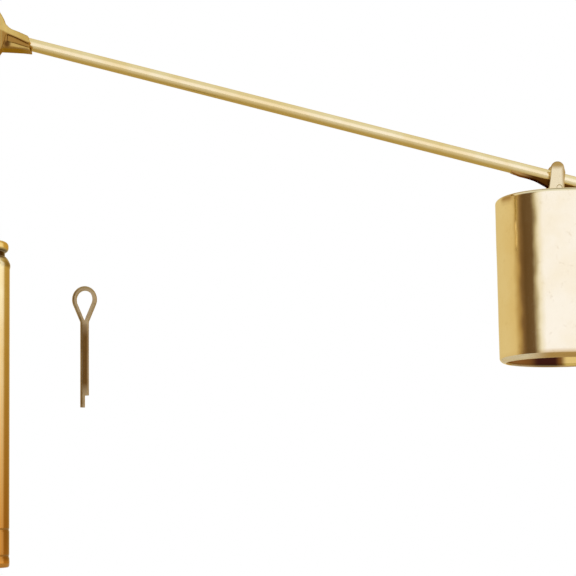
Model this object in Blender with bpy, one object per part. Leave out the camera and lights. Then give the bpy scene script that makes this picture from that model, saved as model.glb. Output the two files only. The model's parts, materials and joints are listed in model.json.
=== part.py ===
"""Brass toilet fill valve: a float-operated lever valve on a standpipe, with its spare split pin.

Metres, +Z up. The origin is the centre of the tank hole, at the tank floor. +X runs towards the float.
The lever, the plunger and the float are drawn with the float down and the valve open.
"""

import math

import bmesh
import bpy
from mathutils import Vector

# Clearances
GAP = 0.0003
THREAD_PLAY = 0.0004

# Supply shank, its nuts and washers, below and above the tank floor
SHANK_RADIUS = 0.0104
SHANK_BOTTOM = -0.0440
SHANK_BORE = 0.0055
FLANGE_RADIUS = 0.0180
FLANGE_BOTTOM = 0.0033
FLANGE_TOP = 0.0070
SOCKET_TOP = 0.0140
SOCKET_FLOOR = 0.0050
TANK_WALL = 0.0085
LOCK_NUT_FLATS = 0.0300
COUPLING_NUT_FLATS = 0.0270
COUPLING_NUT_BOTTOM = -0.0520
COUPLING_NUT_TOP = -0.0360

# Standpipe and valve head
PIPE_RADIUS = 0.00795
PIPE_WALL = 0.0013
PIPE_TOP = 0.1745
HEAD_BOTTOM = 0.1760
HEAD_TOP = 0.2032
HEAD_RADIUS = 0.0110
CHAMBER_RADIUS = 0.0080
CHAMBER_FLOOR = 0.1830
OUTLET_Z = 0.1900
OUTLET_FACE = 0.0150
SEAT_CROWN_TOP = 0.1865
UNION_NUT_FLATS = 0.0230
BONNET_NUT_FLATS = 0.0170
BONNET_NUT_TOP = 0.2095

# Lever: fulcrum, hub, arm and fork
FULCRUM_X = 0.0190
FULCRUM_Z = 0.2222
HUB_RADIUS = 0.0146
HUB_REAR_RADIUS = 0.0128
HUB_HALF = 0.0046
ARM_HALF = 0.0038
ARM_RECESS = 0.0008
FORK_SLOT_HALF = 0.0026
FORK_SLOT_END = 0.0090
EAR_RADIUS = 0.0085
EAR_INNER = 0.0049
EAR_OUTER = 0.0089
PIN_HOLE = 0.0019
LINK_PIN_RADIUS = 0.0012

# Plunger
STEM_RADIUS = 0.0035
STEM_TOP = 0.2163
FOOT_TOP = 0.1972
EYE_RADIUS = 0.0045
EYE_HALF = 0.0021

# Float rod, a straight bar that slopes down to the float
ROD_RADIUS = 0.0025
ROD_SLOPE = math.radians(14.60)
ROD_REF_X = 0.04663
ROD_REF_Z = 0.21725
ROD_START_X = 0.0353
ROD_END_X = 0.2615

# Float: an inverted cup that hangs from a rivet under the rod
FLOAT_X = 0.2514
FLOAT_RADIUS = 0.0246
FLOAT_TOP = 0.1557
FLOAT_BOTTOM = 0.0913
FLOAT_WALL = 0.0008
FLOAT_SHOULDER = 0.0018
FLOAT_LIP = 0.0028
FLOAT_LEAN = math.radians(0.65)
RIVET_Z = 0.1594
RIVET_RADIUS = 0.0010
SADDLE_HALF = 0.0023
TONGUE_INNER = 0.0029
TONGUE_OUTER = 0.0047
TONGUE_TOP = 0.1699
STUD_RADIUS = 0.0025

# Outlet: drop pipe and hush tube, which hangs a little out of plumb
HUSH_X = 0.0253
HUSH_Z = 0.1410
HUSH_TILT = math.radians(1.25)
HUSH_RADIUS = 0.0110
HUSH_WALL = 0.0010
HUSH_NECK = 0.0091
HUSH_LENGTH = 0.1283
DROP_RADIUS = 0.0048
DROP_BORE = 0.0035
DROP_BEND = 0.0080

# Split pins, 3.2 mm across the closed legs
SPLIT_RADIUS = 0.0016
SPLIT_EYE_RADIUS = 0.0032
SPLIT_EYE_HEIGHT = 0.0093
SPLIT_EYE_STRETCH = 1.15
SPARE_PIN_X = 0.0663
SPARE_PIN_Z = 0.1065
SPARE_PIN_LEAN = math.radians(1.0)

# Finishes: colour, metallic, roughness
POLISHED_BRASS = ((0.80, 0.58, 0.25), 1.0, 0.18)
CAST_BRASS = ((0.62, 0.42, 0.16), 1.0, 0.34)
DULL_BRONZE = ((0.30, 0.19, 0.08), 1.0, 0.45)
BLACK_RUBBER = ((0.02, 0.02, 0.02), 0.0, 0.70)
WHITE_NYLON = ((0.80, 0.79, 0.74), 0.0, 0.45)


def clear_scene():
    for old in list(bpy.data.objects):
        bpy.data.objects.remove(old, do_unlink=True)


def give_finish(obj, finish):
    colour, metallic, roughness = finish
    material = bpy.data.materials.new(obj.name)
    material.use_nodes = True
    shader = material.node_tree.nodes["Principled BSDF"]
    shader.inputs["Base Color"].default_value = (*colour, 1.0)
    shader.inputs["Metallic"].default_value = metallic
    shader.inputs["Roughness"].default_value = roughness
    obj.data.materials.append(material)


def finish_mesh(name, bm, smooth_angle=35.0):
    """Turns a bmesh into an object with outward normals, smooth except at its edges."""
    bmesh.ops.remove_doubles(bm, verts=bm.verts, dist=1e-7)
    bmesh.ops.recalc_face_normals(bm, faces=bm.faces)
    mesh = bpy.data.meshes.new(name)
    bm.to_mesh(mesh)
    bm.free()
    mesh.shade_smooth()
    mesh.set_sharp_from_angle(angle=math.radians(smooth_angle))
    obj = bpy.data.objects.new(name, mesh)
    bpy.context.scene.collection.objects.link(obj)
    return obj


def turned(name, profile, segments=24, location=(0, 0, 0), rotation=(0, 0, 0), start_angle=0.0):
    """Revolves a section of (radius, z) points about the local Z axis."""
    bm = bmesh.new()
    turn = (math.cos(start_angle), math.sin(start_angle))
    verts = [bm.verts.new((r * turn[0], r * turn[1], z)) for r, z in profile]
    pairs = list(zip(verts, verts[1:]))
    solid = profile[0][0] == 0 and profile[-1][0] == 0
    if not solid:
        pairs.append((verts[-1], verts[0]))
    edges = [bm.edges.new(pair) for pair in pairs]
    bmesh.ops.spin(bm, geom=verts + edges, cent=(0, 0, 0), axis=(0, 0, 1), dvec=(0, 0, 0),
                   angle=math.tau, steps=segments, use_merge=True, use_duplicate=False)
    obj = finish_mesh(name, bm)
    obj.location = location
    obj.rotation_euler = rotation
    return obj


def prism(name, outline, low_y, high_y):
    """Extrudes an outline of (x, z) points along Y."""
    bm = bmesh.new()
    face = bm.faces.new([bm.verts.new((x, low_y, z)) for x, z in outline])
    made = bmesh.ops.extrude_face_region(bm, geom=[face])["geom"]
    moved = [item for item in made if isinstance(item, bmesh.types.BMVert)]
    bmesh.ops.translate(bm, verts=moved, vec=(0, high_y - low_y, 0))
    return finish_mesh(name, bm)


def bar_along_y(name, x, z, radius, low_y, high_y, segments=16):
    middle = [(0, 0), (radius, 0), (radius, high_y - low_y), (0, high_y - low_y)]
    return turned(name, middle, segments, (x, high_y, z), (math.pi / 2, 0, 0))


def block(name, low, high):
    """A box between two corners."""
    outline = [(low[0], low[2]), (high[0], low[2]), (high[0], high[2]), (low[0], high[2])]
    return prism(name, outline, low[1], high[1])


def arc(x, z, radius, start, end, steps):
    """Points on an arc, with the angles in degrees from +X towards +Z."""
    angles = [math.radians(start + (end - start) * i / steps) for i in range(steps + 1)]
    return [(x + radius * math.cos(a), z + radius * math.sin(a)) for a in angles]


def swept(name, path, sections):
    """Sweeps closed sections of (offset, y) points along a path of (x, z) points in the XZ plane."""
    bm = bmesh.new()
    loops = []
    for i, point in enumerate(path):
        before = Vector(path[max(i - 1, 0)])
        after = Vector(path[min(i + 1, len(path) - 1)])
        here = Vector(point)
        into = (here - before).normalized() if i else (after - here).normalized()
        out = (after - here).normalized() if i < len(path) - 1 else into
        along = (into + out).normalized()
        side = Vector((-along.y, along.x)) / max(along.dot(out), 0.5)
        loops.append([[bm.verts.new((here.x + side.x * n, y, here.y + side.y * n)) for n, y in section]
                      for section in sections])
    for first, second in zip(loops, loops[1:]):
        for a, b in zip(first, second):
            for j in range(len(a)):
                k = (j + 1) % len(a)
                bm.faces.new((a[j], a[k], b[k], b[j]))
    for end in (loops[0], loops[-1]):
        if len(sections) == 1:
            bm.faces.new(end[0])
            continue
        outer, inner = end
        for j in range(len(outer)):
            k = (j + 1) % len(outer)
            bm.faces.new((outer[j], outer[k], inner[k], inner[j]))
    return finish_mesh(name, bm)


def combine(obj, tool, operation):
    """Joins or cuts with another object, which becomes a hidden helper."""
    modifier = obj.modifiers.new(tool.name, "BOOLEAN")
    modifier.operation = operation
    modifier.solver = "EXACT"
    modifier.object = tool
    tool.hide_render = True
    tool.display_type = "WIRE"


def hex_nut(name, flats, low_z, high_z, bore_profile, flats_on_x=True):
    """A hexagon nut on the Z axis with chamfered corners and a turned bore."""
    corner = flats / math.sqrt(3)
    start = math.pi / 6 if flats_on_x else 0.0
    nut = turned(name, [(0, low_z), (corner, low_z), (corner, high_z), (0, high_z)], 6, start_angle=start)
    drop = (corner - flats / 2) * 0.6
    waist = corner + GAP
    crown = [(0, low_z - GAP), (flats / 2, low_z - GAP), (waist, low_z + drop),
             (waist, high_z - drop), (flats / 2, high_z + GAP), (0, high_z + GAP)]
    combine(nut, turned(name + "_crown", crown), "INTERSECT")
    combine(nut, turned(name + "_bore", bore_profile), "DIFFERENCE")
    return nut


def rod_z(x):
    """Height of the float rod's axis at x."""
    return ROD_REF_Z - (x - ROD_REF_X) * math.tan(ROD_SLOPE)


def pivot(name, location):
    empty = bpy.data.objects.new(name, None)
    empty.location = location
    empty.empty_display_size = 0.01
    bpy.context.scene.collection.objects.link(empty)
    bpy.context.view_layer.update()
    return empty


def hang_on(parent, *objects):
    """Parents objects and their helpers, keeping them where they are."""
    for obj in objects:
        obj.parent = parent
        obj.matrix_parent_inverse = parent.matrix_world.inverted()
        for modifier in obj.modifiers:
            hang_on(parent, modifier.object)


# Supply side


def make_tail_shank():
    """Flanged shank: it passes through the tank hole and carries the standpipe in its socket."""
    mouth = SHANK_BORE + 0.0027
    socket = PIPE_RADIUS + GAP
    profile = [
        (mouth, SHANK_BOTTOM), (SHANK_RADIUS - 0.0010, SHANK_BOTTOM), (SHANK_RADIUS, SHANK_BOTTOM + 0.0010),
        (SHANK_RADIUS, FLANGE_BOTTOM), (FLANGE_RADIUS, FLANGE_BOTTOM), (FLANGE_RADIUS, FLANGE_TOP - 0.0008),
        (FLANGE_RADIUS - 0.0008, FLANGE_TOP), (0.0112, FLANGE_TOP), (0.0105, SOCKET_TOP - 0.0010),
        (0.0098, SOCKET_TOP), (socket, SOCKET_TOP), (socket, SOCKET_FLOOR), (SHANK_BORE, SOCKET_FLOOR),
        (SHANK_BORE, SHANK_BOTTOM + 0.0027),
    ]
    return turned("tail_shank", profile, 32)


def make_washer(name, inner, outer, low_z, high_z):
    edge = 0.0003
    profile = [(inner, low_z), (outer - edge, low_z), (outer, low_z + edge), (outer, high_z - edge),
               (outer - edge, high_z), (inner, high_z)]
    return turned(name, profile)


def make_lock_nut(top_z):
    bore = SHANK_RADIUS + THREAD_PLAY
    reach = [(0, top_z - 0.0100), (bore, top_z - 0.0100), (bore, top_z + 0.0010), (0, top_z + 0.0010)]
    return hex_nut("lock_nut", LOCK_NUT_FLATS, top_z - 0.0080, top_z, reach)


def make_coupling_nut():
    bore = SHANK_RADIUS + THREAD_PLAY
    mouth = 0.0060
    lip_top = COUPLING_NUT_BOTTOM + 0.0020
    reach = [(0, COUPLING_NUT_BOTTOM - 0.0010), (mouth, COUPLING_NUT_BOTTOM - 0.0010), (mouth, lip_top),
             (bore, lip_top), (bore, COUPLING_NUT_TOP + 0.0010), (0, COUPLING_NUT_TOP + 0.0010)]
    return hex_nut("coupling_nut", COUPLING_NUT_FLATS, COUPLING_NUT_BOTTOM, COUPLING_NUT_TOP, reach)


def make_cone_washer():
    bottom = COUPLING_NUT_BOTTOM + 0.0023
    tip = SHANK_BOTTOM + 0.0025
    profile = [(0.0036, bottom), (0.0098, bottom), (0.0098, bottom + 0.0032), (0.0050, tip), (0.0036, tip)]
    return turned("cone_washer", profile)


def make_inlet_filter():
    """A thimble in the shank's bore, slotted so that water passes and grit stays out."""
    outer, inner = 0.0050, 0.0041
    low, high = -0.0380, -0.0160
    profile = [(inner, low), (outer, low), (outer - 0.0008, high), (0, high), (0, high - 0.0010),
               (inner - 0.0008, high - 0.0010)]
    thimble = turned("inlet_filter", profile, 18)
    for i in range(3):
        slot = block(f"filter_slot_{i}", (-0.0070, -0.0006, low + 0.0040), (0.0070, 0.0006, high - 0.0030))
        slot.rotation_euler = (0, 0, i * math.pi / 3)
        combine(thimble, slot, "DIFFERENCE")
    return thimble


# Standpipe and head


def make_standpipe():
    """Brass pipe with a collar near its top, which the union nut pulls up."""
    inner = PIPE_RADIUS - PIPE_WALL
    collar = 0.0092
    profile = [
        (inner, SOCKET_FLOOR + GAP), (PIPE_RADIUS, SOCKET_FLOOR + GAP), (PIPE_RADIUS, PIPE_TOP - 0.0025),
        (collar, PIPE_TOP - 0.0020), (collar, PIPE_TOP), (inner, PIPE_TOP),
    ]
    return turned("standpipe", profile, 28)


def make_union_nut():
    bore = 0.0098
    lip = PIPE_RADIUS + GAP
    low, high = 0.1690, 0.1815
    reach = [(0, low - 0.0010), (lip, low - 0.0010), (lip, low + 0.0026), (bore, low + 0.0026),
             (bore, high + 0.0010), (0, high + 0.0010)]
    return hex_nut("union_nut", UNION_NUT_FLATS, low, high, reach)


def ear_outline():
    """One fulcrum ear: a bracket off the head that ends in a round boss about the fulcrum."""
    boss = arc(FULCRUM_X, FULCRUM_Z, EAR_RADIUS, -28, 192, 14)
    return boss + [(0.0098, HEAD_TOP), (-0.0030, HEAD_TOP - 0.0010), (-0.0030, 0.1925),
                   (0.0075, 0.1925), (0.0190, 0.2020)]


def make_valve_head():
    """Cast body: chamber and outlet boss below, two ears for the fulcrum above."""
    tail = 0.0095
    outside = [(0, HEAD_BOTTOM), (tail, HEAD_BOTTOM), (tail, 0.1822), (HEAD_RADIUS, 0.1830),
               (HEAD_RADIUS, HEAD_TOP - 0.0006), (HEAD_RADIUS - 0.0006, HEAD_TOP), (0, HEAD_TOP)]
    head = turned("valve_head", outside, 28)
    for side, name in ((-1, "front"), (1, "rear")):
        low, high = sorted((side * EAR_INNER, side * EAR_OUTER))
        combine(head, prism(f"ear_{name}", ear_outline(), low, high), "UNION")
    boss = [(0, 0), (0.0075, 0), (0.0075, OUTLET_FACE - 0.0005), (0.0070, OUTLET_FACE), (0, OUTLET_FACE)]
    combine(head, turned("outlet_boss", boss, 24, (0, 0, OUTLET_Z), (0, math.pi / 2, 0)), "UNION")
    seat_bore, water_way = 0.0068, 0.0060
    bore = [(0, HEAD_BOTTOM - 0.0010), (water_way, HEAD_BOTTOM - 0.0010), (water_way, 0.1775),
            (seat_bore, 0.1775), (seat_bore, CHAMBER_FLOOR), (CHAMBER_RADIUS, CHAMBER_FLOOR),
            (CHAMBER_RADIUS, HEAD_TOP + 0.0004), (0, HEAD_TOP + 0.0004)]
    combine(head, turned("head_bore", bore, 24), "DIFFERENCE")
    socket = DROP_RADIUS + GAP
    outlet = [(0, 0.0050), (DROP_BORE, 0.0050), (DROP_BORE, 0.0091), (socket, 0.0091),
              (socket, OUTLET_FACE + 0.0010), (0, OUTLET_FACE + 0.0010)]
    combine(head, turned("outlet_bore", outlet, 20, (0, 0, OUTLET_Z), (0, math.pi / 2, 0)), "DIFFERENCE")
    combine(head, bar_along_y("ear_hole", FULCRUM_X, FULCRUM_Z, PIN_HOLE, -0.0120, 0.0120), "DIFFERENCE")
    return head


def make_valve_seat():
    """Seat screwed into the head, with a raised crown for the washer to close on."""
    bore, crown = 0.0030, 0.0045
    profile = [(bore, 0.1778), (0.0065, 0.1778), (0.0065, CHAMBER_FLOOR + GAP), (0.0077, CHAMBER_FLOOR + GAP),
               (0.0077, CHAMBER_FLOOR + 0.0015), (crown, CHAMBER_FLOOR + 0.0017), (crown - 0.0008, SEAT_CROWN_TOP),
               (bore, SEAT_CROWN_TOP)]
    return turned("valve_seat", profile)


def make_bonnet_nut():
    """Gland nut that closes the chamber and guides the stem, with a groove for the ring."""
    guide = STEM_RADIUS + GAP
    groove = 0.0059
    spigot = CHAMBER_RADIUS - GAP
    reach = [(0, 0.1960), (guide, 0.1960), (guide, 0.2046), (groove, 0.2046), (groove, 0.2074),
             (guide, 0.2074), (guide, 0.2110), (0, 0.2110)]
    nut = hex_nut("bonnet_nut", BONNET_NUT_FLATS, HEAD_TOP + GAP, BONNET_NUT_TOP, reach)
    thread = [(0, FOOT_TOP + GAP), (spigot - 0.0004, FOOT_TOP + GAP), (spigot, FOOT_TOP + 0.0008),
              (spigot, HEAD_TOP + 0.0010), (0, HEAD_TOP + 0.0010)]
    bore = nut.modifiers[-1]
    combine(nut, turned("bonnet_spigot", thread), "UNION")
    nut.modifiers.move(len(nut.modifiers) - 1, list(nut.modifiers).index(bore))
    return nut


def make_stem_ring():
    section = arc(0.00475, 0.2060, 0.00085, 0, 300, 5)
    return turned("stem_ring", section, 20)


def make_split_pin(name, left_leg, right_leg, straight, spread, location, rotation):
    """Half-round wire folded into an eye. The legs run down local -Z and part below the straight stretch."""
    half_gap = GAP / 2

    def leg(side, length):
        bend = [(side * half_gap, -straight)]
        if length > straight:
            rest = length - straight
            steps = 4 if spread else 1
            for i in range(1, steps + 1):
                part = i / steps
                bend.append((side * (half_gap + rest * part * part * math.tan(spread)), -straight - rest * part))
        return bend

    eye_z = SPLIT_EYE_HEIGHT / SPLIT_EYE_STRETCH
    tangent = math.degrees(math.asin(SPLIT_EYE_RADIUS / eye_z))
    eye = [(x, z * SPLIT_EYE_STRETCH) for x, z in arc(0, eye_z, SPLIT_EYE_RADIUS, -tangent, 180 + tangent, 14)]
    shank = [(half_gap, 0), (half_gap * 1.6, 0.0009)]
    path = leg(1, right_leg)[::-1] + shank + eye
    path += [(-x, z) for x, z in reversed(shank)] + leg(-1, left_leg)
    half_round = [(-SPLIT_RADIUS * math.sin(math.pi * i / 6), SPLIT_RADIUS * math.cos(math.pi * i / 6))
                  for i in range(7)]
    pin = swept(name, path, [half_round])
    pin.location = location
    pin.rotation_euler = rotation
    return pin


# Outlet


def make_drop_pipe():
    """Bent pipe from the head's outlet down into the hush tube's collar."""
    bend_z = OUTLET_Z - DROP_BEND
    end_x = HUSH_X - (bend_z - HUSH_Z) * math.tan(HUSH_TILT)
    bend_x = end_x - DROP_BEND
    bend = arc(bend_x, bend_z, DROP_BEND, 90, math.degrees(HUSH_TILT), 7)
    fall = 0.0120
    foot = (HUSH_X + fall * math.sin(HUSH_TILT), HUSH_Z - fall * math.cos(HUSH_TILT))
    path = [(0.0094, OUTLET_Z)] + bend + [foot]

    def ring(radius):
        turns = [math.tau * i / 18 for i in range(18)]
        return [(radius * math.cos(turn), radius * math.sin(turn)) for turn in turns]

    return swept("drop_pipe", path, [ring(DROP_RADIUS), ring(DROP_BORE)])


def make_hush_collar():
    """Collar with a rounded bead that screws the hush tube to the drop pipe."""
    bore = DROP_RADIUS + GAP
    bead_round = 0.0016
    bead_x = 0.0105 - bead_round
    profile = [(bore, 0.0060), (0.0066, 0.0060), (0.0070, 0.0055), (0.0070, -0.0026)]
    profile += arc(bead_x, -0.0042, bead_round, 90, 0, 3) + arc(bead_x, -0.0050, bead_round, 0, -90, 3)
    profile += [(HUSH_NECK, -0.0067), (HUSH_NECK, -0.0130), (bore, -0.0130)]
    return turned("hush_collar", profile, 28, (HUSH_X, 0, HUSH_Z), (0, -HUSH_TILT, 0))


def make_hush_tube():
    """Silencer tube, open below, that carries the water down quietly."""
    mouth = HUSH_NECK + GAP
    inner = HUSH_RADIUS - HUSH_WALL
    rim = HUSH_RADIUS + 0.0002
    groove = HUSH_RADIUS - 0.0004
    top = -0.0084
    fall = 0.0030
    bottom = -HUSH_LENGTH
    ring = bottom + 0.0140
    profile = [
        (mouth, top), (rim - 0.0011, top - 0.0008), (rim - 0.0005, top - 0.0018), (rim, top - fall),
        (rim, top - fall - 0.0010), (HUSH_RADIUS, top - fall - 0.0020),
        (HUSH_RADIUS, ring + 0.0008), (groove, ring + 0.0004), (groove, ring), (HUSH_RADIUS, ring - 0.0004),
        (HUSH_RADIUS, bottom + 0.0005), (HUSH_RADIUS - 0.0004, bottom), (inner, bottom), (inner, top - fall),
        (inner - 0.0003, top - HUSH_WALL), (mouth, top - HUSH_WALL),
    ]
    return turned("hush_tube", profile, 32, (HUSH_X, 0, HUSH_Z), (0, -HUSH_TILT, 0))


# Lever and rod


def make_lever():
    """Cast lever: round hub with a tapered rear rim, fork over the plunger, recessed arm that holds the rod."""
    hub = [(0, -HUB_HALF), (HUB_REAR_RADIUS, -HUB_HALF), (HUB_RADIUS, 0), (HUB_RADIUS, HUB_HALF), (0, HUB_HALF)]
    lever = turned("lever", hub, 36, (FULCRUM_X, 0, FULCRUM_Z), (math.pi / 2, 0, 0))
    arm = [(0.0240, 0.2300), (0.0322, 0.2275), (0.0334, 0.2258), (0.0348, 0.2243), (0.0360, 0.2235),
           (0.0384, 0.2226), (0.0424, 0.2208), (0.0437, 0.2148), (0.0397, 0.2154), (0.0327, 0.2158),
           (0.0240, 0.2161)]
    combine(lever, prism("lever_arm", arm, -ARM_HALF, ARM_HALF), "UNION")
    prongs = arc(0, FULCRUM_Z, 0.0046, 95, 265, 8) + [(0.0100, 0.2140), (0.0160, 0.2218), (0.0100, 0.2295)]
    combine(lever, prism("lever_fork", prongs, -HUB_HALF, HUB_HALF), "UNION")
    slot = block("fork_slot", (-0.0080, -FORK_SLOT_HALF, 0.2030), (FORK_SLOT_END, FORK_SLOT_HALF, 0.2400))
    combine(lever, slot, "DIFFERENCE")
    recess = [(0.0346, 0.2211), (0.0413, 0.2186), (0.0420, 0.2160), (0.0346, 0.2170)]
    floor = ARM_HALF - ARM_RECESS
    combine(lever, prism("recess_front", recess, -ARM_HALF - 0.0010, -floor), "DIFFERENCE")
    combine(lever, prism("recess_rear", recess, floor, ARM_HALF + 0.0010), "DIFFERENCE")
    socket = ROD_RADIUS + 0.00015
    reach = 0.0150
    start_x = ROD_START_X - 0.0004
    hole = turned("rod_socket", [(0, 0), (socket, 0), (socket, reach), (0, reach)], 24,
                  (start_x, 0, rod_z(start_x)), (0, math.pi / 2 + ROD_SLOPE, 0))
    combine(lever, hole, "DIFFERENCE")
    for name, x, radius in (("hub_hole", FULCRUM_X, PIN_HOLE), ("fork_hole", 0.0, LINK_PIN_RADIUS + GAP)):
        combine(lever, bar_along_y(name, x, FULCRUM_Z, radius, -0.0120, 0.0120), "DIFFERENCE")
    return lever


def make_float_rod():
    length = (ROD_END_X - ROD_START_X) / math.cos(ROD_SLOPE)
    edge = 0.0004
    profile = [(0, 0), (ROD_RADIUS - edge, 0), (ROD_RADIUS, edge), (ROD_RADIUS, length - edge),
               (ROD_RADIUS - edge, length), (0, length)]
    return turned("float_rod", profile, 24, (ROD_START_X, 0, rod_z(ROD_START_X)),
                  (0, math.pi / 2 + ROD_SLOPE, 0))


def make_rod_saddle():
    """Tapered block brazed under the rod, bored for the float's rivet."""
    below = (ROD_RADIUS + GAP) / math.cos(ROD_SLOPE)
    left, right = 0.2400, 0.2590
    boss = arc(FLOAT_X, RIVET_Z, 0.0019, 225, 300, 5)
    outline = [(left, rod_z(left) - below), (0.2430, 0.1629), (0.2448, 0.1619), (0.2474, 0.1604)]
    outline += boss + [(right, rod_z(right) - below - 0.0004), (right, rod_z(right) - below)]
    saddle = prism("rod_saddle", outline, -SADDLE_HALF, SADDLE_HALF)
    hole = bar_along_y("saddle_hole", FLOAT_X, RIVET_Z, RIVET_RADIUS + 0.0002, -0.0040, 0.0040)
    combine(saddle, hole, "DIFFERENCE")
    return saddle


def make_link_pin():
    """Headed pin through the fork, on which the plunger's eye hangs."""
    head = 0.0020
    half = HUB_HALF + GAP
    profile = [(0, -half - 0.0008), (head, -half - 0.0008), (head, -half), (LINK_PIN_RADIUS, -half),
               (LINK_PIN_RADIUS, half), (head, half), (head, half + 0.0008), (0, half + 0.0008)]
    return turned("link_pin", profile, 16, (0, 0, FULCRUM_Z), (math.pi / 2, 0, 0))


# Plunger


def make_plunger():
    """Stem with a cupped foot for the seat washer and a flat eye on top."""
    cup_inner, cup_outer = 0.0059, 0.0069
    cup_low = 0.1924
    face = 0.1949
    bore = 0.0013
    profile = [
        (0, 0.1985), (bore, 0.1985), (bore, face), (cup_inner, face), (cup_inner, cup_low),
        (cup_outer, cup_low), (cup_outer, FOOT_TOP - 0.0006), (cup_outer - 0.0006, FOOT_TOP),
        (STEM_RADIUS, FOOT_TOP), (STEM_RADIUS, STEM_TOP), (0, STEM_TOP),
    ]
    plunger = turned("plunger", profile)
    eye = arc(0, FULCRUM_Z, EYE_RADIUS, -20, 200, 14) + [(-0.0034, STEM_TOP - 0.0010), (0.0034, STEM_TOP - 0.0010)]
    combine(plunger, prism("plunger_eye", eye, -EYE_HALF, EYE_HALF), "UNION")
    slot_half = LINK_PIN_RADIUS + GAP
    slot = arc(0.0008, FULCRUM_Z, slot_half, -90, 90, 8) + arc(-0.0001, FULCRUM_Z, slot_half, 90, 270, 8)
    combine(plunger, prism("eye_slot", slot, -0.0040, 0.0040), "DIFFERENCE")
    return plunger


def make_washer_screw():
    """Screw that holds the seat washer up in the plunger's cup."""
    profile = [(0, 0.1902), (0.0020, 0.1902), (0.0024, 0.1905), (0.0024, 0.1913), (0.0010, 0.1913),
               (0.0010, 0.1980), (0, 0.1980)]
    screw = turned("washer_screw", profile, 16)
    combine(screw, block("screw_slot", (-0.0040, -0.0003, 0.1890), (0.0040, 0.0003, 0.1907)), "DIFFERENCE")
    return screw


# Float


def make_float_can():
    """Spun cup, open below, with a rounded shoulder and a lip rolled inwards."""
    outer, inner = FLOAT_RADIUS, FLOAT_RADIUS - FLOAT_WALL
    hole = STUD_RADIUS + GAP
    roof = FLOAT_TOP - FLOAT_WALL
    shoulder_z = FLOAT_TOP - FLOAT_SHOULDER
    lip_z = FLOAT_BOTTOM + FLOAT_LIP
    lip_x = outer - FLOAT_LIP
    profile = [(hole, FLOAT_TOP)]
    profile += arc(outer - FLOAT_SHOULDER, shoulder_z, FLOAT_SHOULDER, 90, 0, 4)
    profile += arc(lip_x, lip_z, FLOAT_LIP, 0, -80, 4)
    profile += arc(lip_x, lip_z, FLOAT_LIP - FLOAT_WALL, -80, 0, 4)
    profile += arc(outer - FLOAT_SHOULDER, shoulder_z, FLOAT_SHOULDER - FLOAT_WALL, 0, 90, 4)
    profile += [(hole, roof)]
    return turned("float_can", profile, 40, (FLOAT_X, 0, 0))


def make_float_clevis():
    """Foot plate with two tapered tongues astride the rod, and a stud down through the can."""
    plate_low, plate_high = FLOAT_TOP + GAP, FLOAT_TOP + 0.0011
    stud_low = 0.1490
    profile = [(0, stud_low), (STUD_RADIUS - 0.0004, stud_low), (STUD_RADIUS, stud_low + 0.0004),
               (STUD_RADIUS, plate_low), (0.0072, plate_low), (0.0072, plate_high), (0, plate_high)]
    clevis = turned("float_clevis", profile, 24, (FLOAT_X, 0, 0))
    crown = 0.0026
    top_arc = arc(-0.0004, TONGUE_TOP - crown, crown, 0, 172, 8)
    outline = top_arc + [(-0.0033, 0.1645), (-0.0041, 0.1593), (-0.0043, plate_low + GAP),
                         (0.0020, plate_low + GAP), (0.0021, 0.1620), (0.0026, 0.1655)]
    outline = [(FLOAT_X + x, z) for x, z in outline]
    for side, name in ((-1, "front"), (1, "rear")):
        low, high = sorted((side * TONGUE_INNER, side * TONGUE_OUTER))
        combine(clevis, prism(f"tongue_{name}", outline, low, high), "UNION")
    hole = bar_along_y("tongue_hole", FLOAT_X, RIVET_Z, RIVET_RADIUS + 0.0001, -0.0070, 0.0070)
    combine(clevis, hole, "DIFFERENCE")
    return clevis


def make_float_rivet():
    """Flush pin through both tongues and the saddle."""
    half = TONGUE_OUTER
    profile = [(0, -half), (RIVET_RADIUS, -half), (RIVET_RADIUS, half), (0, half)]
    return turned("float_rivet", profile, 16, (FLOAT_X, 0, RIVET_Z), (math.pi / 2, 0, 0))


def make_stud_nut():
    roof = FLOAT_TOP - FLOAT_WALL
    bore = STUD_RADIUS + GAP
    high = roof - 0.0018
    low = high - 0.0032
    reach = [(0, low - 0.0010), (bore, low - 0.0010), (bore, high + 0.0010), (0, high + 0.0010)]
    nut = hex_nut("stud_nut", 0.0090, low, high, reach)
    nut.location.x = FLOAT_X
    for modifier in nut.modifiers:
        modifier.object.location.x = FLOAT_X
    return nut


def make_stud_washer():
    roof = FLOAT_TOP - FLOAT_WALL
    washer = make_washer("stud_washer", STUD_RADIUS + GAP, 0.0065, roof - 0.0015, roof - GAP)
    washer.location.x = FLOAT_X
    return washer


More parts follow.
